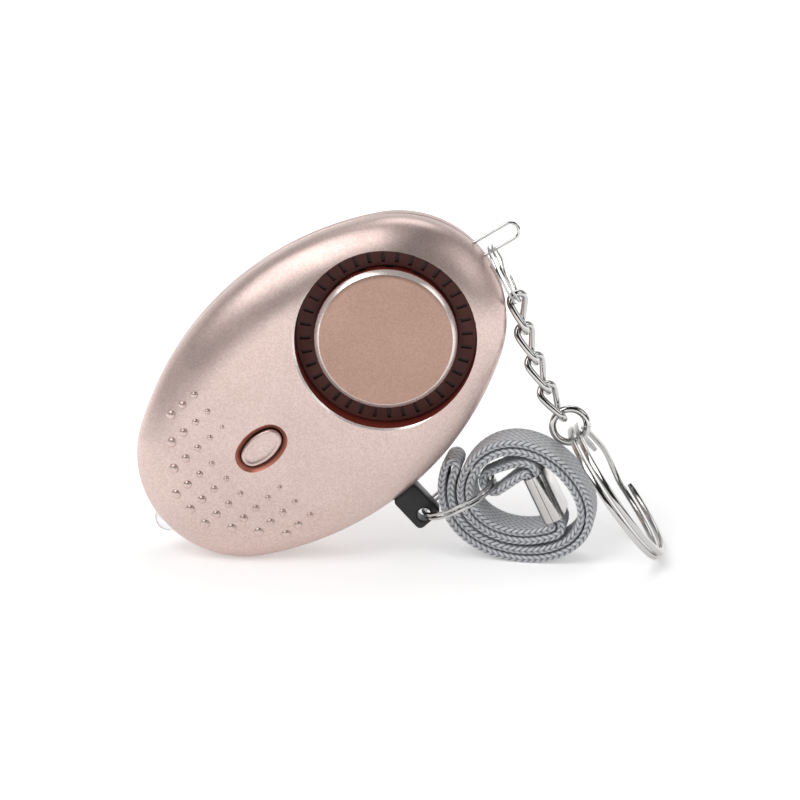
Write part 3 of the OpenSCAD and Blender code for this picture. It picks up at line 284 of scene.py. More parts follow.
coil_mesh, coil_length = strap_mesh("wound_strap", coil_route())
wound_strap = place_piece("wound_strap", coil_mesh, braid, "strap", "strap_coil")


def gather(x):
    """Breadth of the small loop along its run, pulled together where it goes round the ring."""
    k = np.minimum(1, GATHER_REACH * np.abs(2 * x - 1))
    k = k * k * (3 - 2 * k)
    return GATHER_W / STRAP_W + (1 - GATHER_W / STRAP_W) * k


loop_mesh, loop_length = strap_mesh("ring_loop", loop_route(), gather)
ring_loop = place_piece("ring_loop", loop_mesh, braid, "strap", "strap_ring_loop")


# Handling marks: finger smears that change the gloss, and fine polishing scratches. Every metal and the
# clear plastics have them, each at its own scale and strength.
def effect(name, inputs, outputs):
    """An empty shader group with its sockets, its inner tree and its two ends."""
    group = bpy.data.node_groups.new(name, "ShaderNodeTree")
    for label, value in inputs:
        group.interface.new_socket(label, in_out="INPUT", socket_type="NodeSocketFloat").default_value = value
    for label in outputs:
        group.interface.new_socket(label, in_out="OUTPUT", socket_type="NodeSocketFloat")
    return group, group.nodes.new("NodeGroupInput"), group.nodes.new("NodeGroupOutput")


handling, asked, given = effect(
    "handling_marks", [("Scale", 300.0), ("Low", 0.1), ("High", 0.2), ("Scratch Scale", 2500.0)],
    ["Roughness", "Height"])
spot = add_node(handling, "ShaderNodeTexCoord", (-900, 0))
smear = add_node(handling, "ShaderNodeTexNoise", (-600, 200), Vector=spot.outputs["Object"],
                 Scale=asked.outputs["Scale"], Detail=4.0, Roughness=0.6)
level = add_node(handling, "ShaderNodeMapRange", (-300, 200), Value=smear.outputs["Fac"], From_Min=0.3,
                 From_Max=0.7, To_Min=asked.outputs["Low"], To_Max=asked.outputs["High"])
stretch = add_node(handling, "ShaderNodeMapping", (-700, -200), Vector=spot.outputs["Object"],
                   Scale=(1, 0.12, 0.6))
scratch = add_node(handling, "ShaderNodeTexNoise", (-500, -200), Vector=stretch.outputs["Vector"],
                   Scale=asked.outputs["Scratch Scale"], Detail=2.0)
handling.links.new(level.outputs["Result"], given.inputs["Roughness"])
handling.links.new(scratch.outputs["Fac"], given.inputs["Height"])


def marked(finish, shader, group, bump, depth, **values):
    """Puts a group of marks on a finish: its roughness and a fine relief."""
    tree = finish.node_tree
    node = tree.nodes.new("ShaderNodeGroup")
    node.node_tree = group
    node.location = (-600, 0)
    for key, value in values.items():
        node.inputs[key.replace("_", " ")].default_value = value
    tree.links.new(node.outputs["Roughness"], shader.inputs["Roughness"])
    relief = add_node(tree, "ShaderNodeBump", (-250, -250), Height=node.outputs["Height"],
                      Strength=bump, Distance=depth)
    tree.links.new(relief.outputs["Normal"], shader.inputs["Normal"])
    return node


plated_steel, shader = new_finish("plated_steel", (0.56, 0.55, 0.54), 0.12, 1.0)
marked(plated_steel, shader, handling, 0.12, 0.00004, Scale=260.0, Low=0.06, High=0.2, Scratch_Scale=3200.0)
bright_steel, shader = new_finish("rolled_steel", (0.54, 0.525, 0.51), 0.2, 1.0)
marked(bright_steel, shader, handling, 0.2, 0.00005, Scale=400.0, Low=0.1, High=0.22, Scratch_Scale=4200.0)


def loft(rings, closed=False):
    """Solid through rings of points; a closed one goes round on itself, another gets two end faces."""
    n, m = len(rings[0]), len(rings)
    faces = [(i * n + j, (i + 1) % m * n + j, (i + 1) % m * n + (j + 1) % n, i * n + (j + 1) % n)
             for i in range(m if closed else m - 1) for j in range(n)]
    if not closed:
        faces += [tuple(range(n)), tuple((m - 1) * n + j for j in range(n))[::-1]]
    return [tuple(p) for ring in rings for p in ring], faces


def solid_mesh(name, *solids):
    """One mesh of some solids, with every face looking out."""
    work = bmesh.new()
    for points, faces in solids:
        corners = [work.verts.new(p) for p in points]
        for face in faces:
            work.faces.new([corners[i] for i in face])
    bmesh.ops.recalc_face_normals(work, faces=work.faces)
    mesh = bpy.data.meshes.new(name)
    work.to_mesh(mesh)
    work.free()
    return mesh


def smoothed(mesh, matrix, sharp=32):
    """The mesh moved into the object's frame, smooth but for edges sharper than an angle."""
    mesh.transform(matrix)
    mesh.shade_smooth()
    mesh.set_sharp_from_angle(angle=radians(sharp))
    return mesh


def rounded_box(hx, hy, r, cuts=4):
    """Rectangle with rounded corners, as points anticlockwise from the right."""
    points = []
    for k, (cx, cy) in enumerate([(hx - r, hy - r), (r - hx, hy - r), (r - hx, r - hy), (hx - r, r - hy)]):
        for i in range(cuts + 1):
            a = (k + i / cuts) * pi / 2
            points.append((cx + r * cos(a), cy + r * sin(a)))
    return points


def swept(path, across, section, closed=False, scale=None):
    """Solid along a path; the section's first value lies along across, its second along the binormal."""
    path, across = np.asarray(path, float), np.asarray(across, float)
    if closed:
        way = np.roll(path, -1, 0) - np.roll(path, 1, 0)
    else:
        way = np.gradient(path, axis=0)
    way /= np.linalg.norm(way, axis=1)[:, None]
    across = across - (across * way).sum(1)[:, None] * way
    across /= np.linalg.norm(across, axis=1)[:, None]
    binormal = np.cross(way, across)
    scale = np.ones(len(path)) if scale is None else scale
    stations = zip(path, across, binormal, scale)
    return loft([[p + k * (x * a + y * b) for x, y in section] for p, a, b, k in stations], closed)


# Ferrule. A strip of steel rolled round the doubled strap and pressed flat; its two edges meet in a
# seam along the narrow side that faces forward.
FERRULE_ROOM, FERRULE_IN_HALF, FERRULE_WALL = 0.4, 1.85, 0.5
FERRULE_IN_W = STRAP_W + FERRULE_ROOM
SEAM, FERRULE_CORNER, FERRULE_EDGE = 0.12, 1.6, 0.16
FERRULE_HALF_W, FERRULE_HALF_T = FERRULE_IN_W / 2 + FERRULE_WALL / 2, FERRULE_IN_HALF + FERRULE_WALL / 2
outline = np.array(rounded_box(FERRULE_HALF_W, FERRULE_HALF_T, FERRULE_CORNER, 10))
outline = np.roll(outline, -(len(outline) // 2), 0)
outline = np.vstack([[-FERRULE_HALF_W, -SEAM / 2], outline, [-FERRULE_HALF_W, SEAM / 2]])
across = np.stack([np.gradient(outline[:, 1]), -np.gradient(outline[:, 0]), 0 * outline[:, 0]], 1)
strip = swept(np.column_stack([outline, np.full(len(outline), FERRULE_L / 2)]), across,
              rounded_box(FERRULE_WALL / 2, FERRULE_L / 2, FERRULE_EDGE, 3))
ferrule_mesh = solid_mesh("ferrule", strip)
foot = from_coil(FERRULE_FOOT[None])[0] * MM
way = (from_coil(FERRULE_HEAD[None])[0] * MM - foot) / (FERRULE_L * MM)
broad = np.array([sin(STRAP_YAW), cos(STRAP_YAW), 0])
axes = MM * np.stack([broad, np.cross(way, broad), way], 1)
stand = Matrix([[*row, at] for row, at in zip(axes, foot)] + [[0, 0, 0, 1]])
place_piece("ferrule", smoothed(ferrule_mesh, stand), bright_steel, "strap", "strap_ferrule")

# Split rings. Each is flat steel wire wound in two turns with one jog between them and nickel plated:
# the thin one on the pull pin, the small one on the bail, and the large one for keys.
SPLIT_JOG, TURN_GAP, JOG_SIDE = 40, 0.42, 70
TIP_THIN, TIP_TURN, RING_EDGE = 0.75, 6, 0.32
PIN_RING_RADIAL, PIN_RING_AXIAL = 0.8, 0.6
TO_FRAME = Matrix.Scale(MM, 4) @ Matrix.Translation((-ORIGIN_X, 0, 0))


def falling(degrees):
    """Direction in the picture's plane, turned down from level."""
    return np.array([cos(radians(degrees)), 0, -sin(radians(degrees))])


def split_ring(name, centre, first, mean_d, radial, axial, body, node, step=3.0):
    """A two-turn ring whose jog starts a set angle from the first direction."""
    second = np.array([0, 1.0, 0])
    axis = np.cross(first, second)
    turn = np.arange(SPLIT_JOG, 2 * 360 + 0.1, step)
    x = np.clip((turn - 360) / SPLIT_JOG, 0, 1)
    rise = x * x * (3 - 2 * x) - 0.5
    a = np.radians(turn + JOG_SIDE)
    out = np.cos(a)[:, None] * first + np.sin(a)[:, None] * second
    path = centre + mean_d / 2 * out + (axial + TURN_GAP) * rise[:, None] * axis
    end = np.minimum(turn - turn[0], turn[-1] - turn)
    tips = TIP_THIN + (1 - TIP_THIN) * np.clip(end / TIP_TURN, 0, 1)
    section = rounded_box(radial / 2, axial / 2, RING_EDGE * min(radial, axial))
    mesh = solid_mesh(name, swept(path, out, section, scale=tips))
    place_piece(name, smoothed(mesh, TO_FRAME, 40), plated_steel, body, node)


ring_way = np.array([cos(PIN_RING_RISE), 0, sin(PIN_RING_RISE)])
split_ring("pin_split_ring", np.array([PIN_HOLE[0], 0, PIN_HOLE[1]]) + PIN_RING_D / 2 * ring_way, -ring_way,
           PIN_RING_D, PIN_RING_RADIAL, PIN_RING_AXIAL, "strap", "pin_ring")

# Case. Two oval plastic shells with satin rose-gold paint meet along the middle: an oval of four arcs
# with a soft shoulder, screwed together from behind. All its pieces use the frame of the leaning oval.
CASE_L, CASE_W, END_R, TILT = 90, 57.5, 22.6, 42
END_H = CASE_L / 2 - END_R
FRONT, REAR, BAND, WALL, SEAM_CUT = 10, 12, 2.4, 1.8, 0.35
EDGE_R, EDGE_TURN = 5, radians(45)
CASE_AT = np.array([END_H * cos(radians(TILT)), 0, END_R + END_H * sin(radians(TILT))])
IN_CASE = (TO_FRAME @ Matrix.Translation(CASE_AT)
           @ Matrix.Rotation(-radians(TILT), 4, "Y") @ Matrix.Rotation(radians(90), 4, "X"))


def oval(l, w, r):
    """Arcs of an oval: end centre, end radius, side radius, side centre, half-turn of the ends."""
    h = l / 2 - r
    big = (h * h + w * w / 4 - r * r) / (w - 2 * r)
    return h, r, big, big - w / 2, atan2(big - w / 2, h)


def oval_ring(arcs, out, height, ends=40, sides=36, at=0):
    """The oval's outline moved out, at a height."""
    h, r, big, drop, turn = arcs
    ring = []
    for half in (1, -1):
        for i in range(ends):
            a = turn * (2 * i / ends - 1)
            ring.append((at + half * (h + (r + out) * cos(a)), half * (r + out) * sin(a), height))
        for i in range(sides):
            a = turn + (pi - 2 * turn) * i / sides
            ring.append((at + half * (big + out) * cos(a), half * ((big + out) * sin(a) - drop), height))
    return ring


CASE_OVAL = oval(CASE_L, CASE_W, END_R)


def shoulder(depth):
    """Radius and centre of the shoulder's arc above the rounded edge."""
    r = (depth - BAND - EDGE_R * sin(EDGE_TURN)) / (1 - sin(EDGE_TURN))
    return r, -EDGE_R + (EDGE_R - r) * cos(EDGE_TURN), BAND + (EDGE_R - r) * sin(EDGE_TURN)


def shell_block(depth, inset, steps, low):
    """A shell filled in, or its hollow where there is an inset."""
    r, cx, cy = shoulder(depth)
    profile = [(-inset, low)] if inset else [(-SEAM_CUT, 0), (0, SEAM_CUT)]
    for i in range(steps + 1):
        a = EDGE_TURN * i / steps
        profile.append(((EDGE_R - inset) * cos(a) - EDGE_R, BAND + (EDGE_R - inset) * sin(a)))
    for i in range(1, 2 * steps + 1):
        a = EDGE_TURN + (pi / 2 - EDGE_TURN) * i / (2 * steps)
        profile.append((cx + (r - inset) * cos(a), cy + (r - inset) * sin(a)))
    return loft([oval_ring(CASE_OVAL, x, z) for x, z in profile])


def tube(u, v, *rows, sides=64):
    """Round solid about an upright line, through rows of radius and height."""
    turn = [2 * pi * i / sides for i in range(sides)]
    return loft([[(u + r * cos(a), v + r * sin(a), z) for a in turn] for r, z in rows])


def block(u0, u1, v0, v1, n0, n1):
    """Box between two corners."""
    corners = [(u0, v0), (u1, v0), (u1, v1), (u0, v1)]
    return loft([[(u, v, n) for u, v in corners] for n in (n0, n1)])


def turned(solid, matrix):
    """A solid moved by a matrix."""
    return [tuple(matrix @ Vector(p)) for p in solid[0]], solid[1]


def carved(mesh, *tools, how="DIFFERENCE"):
    """A mesh after solids are cut from it or joined to it, one after another."""
    for tool in tools:
        base = bpy.data.objects.new("blank", mesh)
        shape = tool if isinstance(tool, bpy.types.Mesh) else solid_mesh("cutter", tool)
        cutter = bpy.data.objects.new("cutter", shape)
        for item in (base, cutter):
            bpy.context.collection.objects.link(item)
        change = base.modifiers.new("cut", "BOOLEAN")
        change.object, change.operation, change.solver = cutter, how, "EXACT"
        result = bpy.data.meshes.new_from_object(base.evaluated_get(bpy.context.evaluated_depsgraph_get()))
        for item in (base, cutter):
            old = item.data
            bpy.data.objects.remove(item)
            bpy.data.meshes.remove(old)
        mesh = result
    return mesh


# Front shell. Moulded plastic with the siren's well and groove, raised dots, the button's opening and a
# small notch; inside it has screw bosses, posts over the board and a block that holds the bail.
SIREN_U, GROOVE_R, GROOVE_FLOOR, WELL_WALL, PORT_R, MOUTH = 19, 18.9, 4.5, 1.5, 10.5, 0.4
BOSSES, BOSS_R, THREAD_R, THREAD_TOP = [(-31, 13), (-31, -13), (38.5, 8), (38.5, -8)], 2.6, 0.95, 4.65
POSTS, POST_R, BOARD_TOP = [(-10, 18), (-10, -14), (-29, 0)], 1.2, 2.8
BAIL_TURN, BAIL_IN, BAIL_OUT, BAIL_LEGS, BAIL_R, BAIL_FOOT = radians(-11), 5, 9.5, 3.5, 0.375, 1.8
LENS_R, PIN_U, NECK_W, NECK_D, FOOT_ROOM = 3, -2.4, 5.4, 3.2, 0.95
NOTCH_DEPTH, NOTCH_H, NOTCH_HALF, NOTCH_TURN = 1.3, 3.6, 5.2, radians(-22.5)
ANCHOR_IN, ANCHOR_HALF, ANCHOR_H = 6.5, 4.6, 3.4
FIT, OVER = 0.2, 1
PIN_V = -(sqrt(CASE_OVAL[2] ** 2 - PIN_U**2) - CASE_OVAL[3])
AT_BAIL = Matrix.Translation((CASE_L / 2, 0, 0)) @ Matrix.Rotation(BAIL_TURN, 4, "Z")
LIE_ALONG = Matrix.Rotation(pi / 2, 4, "Y")


def rim_cuts():
    """Openings that both shells share: lens, pin slot, bail legs and bail feet."""
    lens = turned(tube(0, 0, (LENS_R + FIT, 0), (LENS_R + FIT, WALL + FIT + 2 * OVER)),
                  Matrix.Translation((-CASE_L / 2 - OVER, 0, 0)) @ LIE_ALONG)
    slot = block(PIN_U - NECK_W / 2 - FIT, PIN_U + NECK_W / 2 + FIT, PIN_V - OVER, PIN_V + WALL + OVER,
                 -NECK_D / 2 - FIT, NECK_D / 2 + FIT)
    leg = tube(0, 0, (BAIL_R + FIT / 2, 0), (BAIL_R + FIT / 2, BAIL_IN + BAIL_OUT), sides=24)
    starts = [Matrix.Translation((-BAIL_IN - FIT, s * BAIL_LEGS / 2, 0)) for s in (-1, 1)]
    legs = [turned(leg, AT_BAIL @ start @ LIE_ALONG) for start in starts]
    reach = BAIL_LEGS / 2 + BAIL_FOOT + FIT
    pocket = block(-BAIL_IN - FOOT_ROOM, -BAIL_IN + FIT, -reach, reach, -BAIL_R - FIT, BAIL_R + FIT)
    return [lens, slot, *legs, turned(pocket, AT_BAIL)]


def notch(depth, top):
    """Block that cuts the notch at the upper tip, or the room round it."""
    turn = Matrix.Translation((END_H, 0, 0)) @ Matrix.Rotation(NOTCH_TURN, 4, "Z")
    return turned(block(END_R - depth, END_R + 2 * OVER, -NOTCH_HALF, NOTCH_HALF, -3 * OVER, top), turn)


DOT_D, DOT_H, DOT_PITCH, DOT_ROW, DOT_FALL = 2.1, 0.55, 3.5, 4.46, 0.3
DOT_ROWS = [(0, -36.7, 4), (1, -36.7, 4), (2, -33, 5), (3, -29.4, 4), (4, -25.6, 3)]


def front_height(u, v):
    """Height of the front shell's outside above a spot."""
    h, r, big, drop, turn = CASE_OVAL
    if abs(v) <= (abs(u) - h) * tan(turn):
        inset = r - hypot(abs(u) - h, v)
    else:
        inset = big - hypot(u, abs(v) + drop)
    arc, cx, cy = shoulder(FRONT)
    return cy + sqrt(arc * arc - max(0, -inset - cx) ** 2)


def raised_dots():
    """Domes in rows round the lower end, each standing straight up from the surface."""
    dome = [(1, -1), (1, 0)] + [(cos(a), sin(a)) for a in np.radians([18, 36, 52, 66, 78, 87])]
    for row, first, count in DOT_ROWS:
        for i in range(count):
            for s in ([1] if row == 0 else [-1, 1]):
                u, v, r = first + i * DOT_PITCH, s * row * DOT_ROW, (DOT_D - i * DOT_FALL) / 2
                h, step = front_height(u, v), 0.05
                slope = Vector((h - front_height(u + step, v), h - front_height(u, v + step), step))
                stand = Matrix.Translation((u, v, h)) @ slope.to_track_quat("Z", "Y").to_matrix().to_4x4()
                yield turned(tube(0, 0, *[(r * x, DOT_H * y) for x, y in dome], sides=24), stand)


BUTTON_U, BUTTON_L, BUTTON_W, BUTTON_R, MOVE_GAP, CHAMFER = -16.1, 10, 5.8, 2.3, 0.3, 0.95
BUTTON_HOLE = oval(BUTTON_L + 2 * MOVE_GAP, BUTTON_W + 2 * MOVE_GAP, BUTTON_R + MOVE_GAP)
HOLE_ROWS = [(0, FRONT - WALL - OVER), (0, FRONT - CHAMFER), (CHAMFER + OVER, FRONT + OVER)]
GROOVE_ROWS = [(GROOVE_R, GROOVE_FLOOR), (GROOVE_R, FRONT - MOUTH), (GROOVE_R + MOUTH + OVER, FRONT + OVER)]
WELL_R = GROOVE_R + WELL_WALL
bail_anchor = block(CASE_L / 2 - ANCHOR_IN, CASE_L / 2 + OVER, -ANCHOR_HALF, ANCHOR_HALF, -2 * OVER, ANCHOR_H)
hollow = carved(solid_mesh("hollow", shell_block(FRONT, WALL, 5, -OVER)),
                tube(SIREN_U, 0, (WELL_R, GROOVE_FLOOR - WELL_WALL), (WELL_R, FRONT)),
                *[tube(u, v, (BOSS_R, -2 * OVER), (BOSS_R, FRONT), sides=32) for u, v in BOSSES],
                *[tube(u, v, (POST_R, BOARD_TOP), (POST_R, FRONT), sides=24) for u, v in POSTS],
                bail_anchor, notch(NOTCH_DEPTH + WALL, NOTCH_H + WALL))
blank = solid_mesh("front_case", shell_block(FRONT, 0, 10, 0))
front = carved(
    carved(blank, solid_mesh("dots", *raised_dots()), how="UNION"), hollow,
    tube(SIREN_U, 0, *GROOVE_ROWS, sides=128),
    tube(SIREN_U, 0, (PORT_R, 0), (PORT_R, GROOVE_FLOOR + OVER)),
    *[tube(u, v, (THREAD_R, -OVER), (THREAD_R, THREAD_TOP), sides=24) for u, v in BOSSES],
    loft([oval_ring(BUTTON_HOLE, x, z, 16, 16, BUTTON_U) for x, z in HOLE_ROWS]),
    notch(NOTCH_DEPTH, NOTCH_H), *rim_cuts())

# Rose paint: tiny metal flakes in a satin lacquer, a little duller where the case is held
flakes, asked, given = effect("paint_flakes", [("Flake Scale", 2600.0), ("Low", 0.3), ("High", 0.4)],
                              ["Glint", "Roughness", "Height"])
spot = add_node(flakes, "ShaderNodeTexCoord", (-1000, 0))
grain = add_node(flakes, "ShaderNodeTexVoronoi", (-700, 250), Vector=spot.outputs["Object"],
                 Scale=asked.outputs["Flake Scale"])
bright = add_node(flakes, "ShaderNodeSeparateColor", (-450, 250), Color=grain.outputs["Color"])
soft = add_node(flakes, "ShaderNodeTexNoise", (-700, -50), Vector=spot.outputs["Object"],
                Scale=85.0, Detail=3.0)
level = add_node(flakes, "ShaderNodeMapRange", (-400, -50), Value=soft.outputs["Fac"], From_Min=0.3,
                 From_Max=0.7, To_Min=asked.outputs["Low"], To_Max=asked.outputs["High"])
flakes.links.new(bright.outputs["Red"], given.inputs["Glint"])
flakes.links.new(level.outputs["Result"], given.inputs["Roughness"])
flakes.links.new(bright.outputs["Green"], given.inputs["Height"])


def rose_paint(name, dark, pale, low, high):
    """Paint between two tones of its flakes, with its least and most roughness."""
    finish, shader = new_finish(name, pale, low, 0.85)
    shader.inputs["Coat Weight"].default_value = 0.15
    shader.inputs["Coat Roughness"].default_value = 0.3
    node = marked(finish, shader, flakes, 0.1, 0.00003, Flake_Scale=4000.0, Low=low, High=high)
    colour = ramp(finish.node_tree, (-300, 250), node.outputs["Glint"], [(0.1, dark), (0.95, pale)])
    finish.node_tree.links.new(colour, shader.inputs["Base Color"])
    return finish


rose = rose_paint("rose_satin_paint", (0.65, 0.495, 0.455), (0.765, 0.61, 0.57), 0.34, 0.44)


# Only PAINT is the case's own colour; the other finishes paint light and shade: painted shade on the walls of
# the groove and of the button's opening, on the button's chamfer and on the groove's floor, and a painted
# highlight on the groove's mouth
PAINT, PAINTED_WALL_SHADE, PAINTED_CHAMFER_SHADE, PAINTED_MOUTH_HIGHLIGHT, PAINTED_FLOOR_SHADE = range(5)
LEVEL, FLAT, FACING, FACING_BUTTON = 0.97, 0.9, 0.3, 0.2
NEAR_FLOOR, NEAR_WALL, NEAR_MOUTH, NEAR_BUTTON = 0.05, 0.02, 0.1, 1.5


def front_part(face):
    """Which finish a face of the front shell has, from its place and the way it looks: its paint, painted
    shade or a painted highlight.
    """
    u, v, height = face.center
    out = Vector((u - SIREN_U, v, 0))
    from_button = Vector((u - BUTTON_U, v, 0))
    above_floor = height > GROOVE_FLOOR - NEAR_FLOOR
    if out.length < GROOVE_R + NEAR_WALL and above_floor and height < FRONT - MOUTH - NEAR_MOUTH:
        return PAINTED_FLOOR_SHADE if face.normal.z > FLAT else PAINTED_WALL_SHADE
    if face.normal.z >= LEVEL or not above_floor:
        return PAINT
    at_mouth = GROOVE_R < out.length < GROOVE_R + MOUTH + NEAR_MOUTH
    if at_mouth and face.normal.dot(out) < -FACING * out.length:
        return PAINTED_MOUTH_HIGHLIGHT
    at_button = abs(from_button.x) < BUTTON_L / 2 + NEAR_BUTTON and abs(v) < BUTTON_W / 2 + NEAR_BUTTON
    if at_button and face.normal.dot(from_button) < -FACING_BUTTON * from_button.length:
        return PAINTED_CHAMFER_SHADE if face.normal.z > FACING else PAINTED_WALL_SHADE
    return PAINT


def add_finishes(mesh, parts, *finishes):
    """Further finishes of a mesh, after its first, and which one each face has."""
    for finish in finishes:
        mesh.materials.append(finish)
    mesh.polygons.foreach_set("material_index", parts)


front_parts = [front_part(face) for face in front.polygons]
place_piece("front_case", smoothed(front, IN_CASE), rose, "case", "front_shell")
# Dark red-brown painted shade, with the rose walls' reddish bounce light painted in, for the groove's walls,
# the button opening's walls and the cap's skirt
groove_shade, shader = new_finish("groove_painted_shade", (0.26, 0.042, 0.028), 0.4, 0.3)
shader.inputs["Specular IOR Level"].default_value = 0.25
marked(groove_shade, shader, flakes, 0.1, 0.00003, Flake_Scale=2400.0, Low=0.34, High=0.46)
# Darker copper-red painted shade on the button opening's chamfer, which is the rose shell itself
chamfer_shade, shader = new_finish("chamfer_painted_shade", (0.46, 0.16, 0.11), 0.4, 0.5)
marked(chamfer_shade, shader, flakes, 0.1, 0.00003, Flake_Scale=2400.0, Low=0.36, High=0.48)
# Pale painted highlight on the groove's mouth and the cap's bevel
edge_highlight, shader = new_finish("edge_painted_highlight", (0.95, 0.86, 0.82), 0.3, 0.55)
marked(edge_highlight, shader, handling, 0.1, 0.00003, Scale=300.0, Low=0.2, High=0.32, Scratch_Scale=2800.0)
# Near-black painted shade for the groove's floor under the grille's slots and for the button's sides in the
# gap round it
recess_shade, shader = new_finish("recess_painted_shade", (0.06, 0.022, 0.018), 0.5)
marked(recess_shade, shader, flakes, 0.1, 0.00003, Flake_Scale=2000.0, Low=0.45, High=0.55)
add_finishes(front, front_parts, groove_shade, chamfer_shade, edge_highlight, recess_shade)

# Rear shell. Deeper than the front one and painted the same; it has screw wells, the battery bay and the
# recess for its cover. It is built with its outside up and then turned to the case's back.
COVER_U, COVER_L, COVER_W, COVER_T, COVER_R, COVER_SCREW = -10, 28, 15.5, 1.4, 3, 1.2
COVER_BORDER, COVER_PAD, COVER_BOSS_R, COVER_BOSS_LOW, RECESS_CHAMFER = 2, 1.2, 2.2, 5.4, 0.2
BAY_LEFT, BAY_RIGHT, BAY_HALF, BAY_WALL, BAY_TOP = -22.8, -3.2, 6.15, 1.2, 2
SCREW_R, HEAD_R, HEAD_H, SCREW_SEAT = 0.9, 1.7, 1, 4.5
COVER_SEAT = REAR - COVER_T
RECESS_ROWS = [(0, COVER_SEAT), (0, REAR - RECESS_CHAMFER), (2 * (RECESS_CHAMFER + OVER), REAR + OVER)]


def plate_ring(grow, z):
    """The battery cover's outline at a height, larger or smaller than the cover."""
    outline = rounded_box((COVER_L + grow) / 2, (COVER_W + grow) / 2, COVER_R + grow / 2, 8)
    return [(COVER_U + x, y, z) for x, y in outline]


def at_back(mesh):
    """A mesh built with its outside up, turned over into the case's rear half."""
    mesh.flip_normals()
    return smoothed(mesh, IN_CASE @ Matrix.Scale(-1, 4, (0, 0, 1)))


frame_l, frame_w = COVER_L / 2 + FIT + COVER_BORDER, COVER_W / 2 + FIT + COVER_BORDER
bay_half = BAY_HALF + BAY_WALL
hollow = carved(solid_mesh("hollow", shell_block(REAR, WALL, 5, -OVER)),
                *[tube(u, v, (BOSS_R, -2 * OVER), (BOSS_R, REAR), sides=32) for u, v in BOSSES],
                block(COVER_U - frame_l, COVER_U + frame_l, -frame_w, frame_w, COVER_SEAT - COVER_PAD, REAR),
                block(BAY_LEFT - BAY_WALL, BAY_RIGHT + BAY_WALL, -bay_half, bay_half, BAY_TOP, REAR),
                tube(COVER_SCREW, 0, (COVER_BOSS_R, COVER_BOSS_LOW), (COVER_BOSS_R, REAR), sides=32),
                bail_anchor)
rear = carved(
    solid_mesh("rear_case", shell_block(REAR, 0, 10, 0)), hollow,
    *[tube(u, v, (SCREW_R + FIT, -OVER), (SCREW_R + FIT, REAR), sides=32) for u, v in BOSSES],
    *[tube(u, v, (HEAD_R + FIT, SCREW_SEAT), (HEAD_R + FIT, REAR + OVER), sides=48) for u, v in BOSSES],
    loft([plate_ring(2 * FIT + x, z) for x, z in RECESS_ROWS]),
    block(BAY_LEFT, BAY_RIGHT, -BAY_HALF, BAY_HALF, BAY_TOP - OVER, REAR + OVER),
    tube(COVER_SCREW, 0, (THREAD_R, COVER_BOSS_LOW - OVER), (THREAD_R, REAR + OVER), sides=24), *rim_cuts())
place_piece("rear_case", at_back(rear), rose, "case", "rear_shell")

# Battery cover. A thin painted plate with softened edges and three grip grooves; it lies in the rear
# shell's recess and is held by one screw.
GRIP_HALF_W, GRIP_HALF_L, GRIP_DEPTH, GRIP_AT = 0.3, 4, 0.4, (-22, -20.5, -19)
COVER_ROWS = [(0, COVER_SEAT), (0, REAR - 0.25), (-0.15, REAR - 0.07), (-0.5, REAR)]
cover = carved(
    solid_mesh("battery_door", loft([plate_ring(x, z) for x, z in COVER_ROWS])),
    tube(COVER_SCREW, 0, (SCREW_R + FIT, COVER_SEAT - OVER), (SCREW_R + FIT, REAR + OVER), sides=32),
    tube(COVER_SCREW, 0, (HEAD_R + FIT, REAR - HEAD_H), (HEAD_R + FIT, REAR + OVER), sides=48),
    *[block(u - GRIP_HALF_W, u + GRIP_HALF_W, -GRIP_HALF_L, GRIP_HALF_L, REAR - GRIP_DEPTH, REAR + OVER)
      for u in GRIP_AT])
place_piece("battery_door", at_back(cover), rose, "case", "battery_cover")

# Screws. Small steel screws with pan heads and a cross recess, driven from behind: four into the front
# shell's bosses, and one through the battery cover.
SCREW_GRIP, COVER_SCREW_L = 4.6, 5
CROSS_HALF_L, CROSS_HALF_W, CROSS_FLOOR = 1.05, 0.22, 0.45
HEAD_ROWS = [(0, 0), (0, 0.55), (0.12, 0.82), (0.45, HEAD_H)]


def screw(name, node, u, v, seat, shank):
    """A screw with its head's underside at a height, placed at the case's back."""
    head = [(HEAD_R - x, seat + z) for x, z in HEAD_ROWS]
    body = solid_mesh(name, tube(u, v, (SCREW_R, seat - shank), (SCREW_R, seat), *head, sides=32))
    arm = block(-CROSS_HALF_L, CROSS_HALF_L, -CROSS_HALF_W, CROSS_HALF_W, 0, OVER)
    floor = Matrix.Translation((u, v, seat + CROSS_FLOOR))
    body = carved(body, *[turned(arm, floor @ Matrix.Rotation(a, 4, "Z")) for a in (0, pi / 2)])
    place_piece(name, at_back(body), bright_steel, "case", node)


for i, (u, v) in enumerate(BOSSES):
    screw(f"case_screw_{i + 1}", "case_screws", u, v, SCREW_SEAT, SCREW_SEAT + SCREW_GRIP)
screw("door_screw", "battery_cover_screw", COVER_SCREW, 0, REAR - HEAD_H, COVER_SCREW_L)

# Siren cap. A round painted cap with a bevelled rim stands in the groove, with a painted highlight on the
# bevel and painted shade on its skirt; sound comes out through slots in its skirt. Its profile is given by
# distances from its edge and its top.
CAP_R, CAP_TOP, CAP_WALL, CAP_BEVEL = 14.9, 9, 1.4, 0.9
CAP_H = CAP_TOP - GROOVE_FLOOR
CAP_SLOTS, CAP_SLOT_HALF, CAP_SLOT_H, CAP_SLACK = 16, 0.8, 2.2, 0.02
CAP_PROFILE = [(CAP_WALL, CAP_WALL), (CAP_WALL, CAP_H), (0, CAP_H), (0, CAP_BEVEL + 0.1), (0.07, CAP_BEVEL),
               (CAP_BEVEL, 0.06), (CAP_BEVEL + 0.12, 0), (2, 0)]


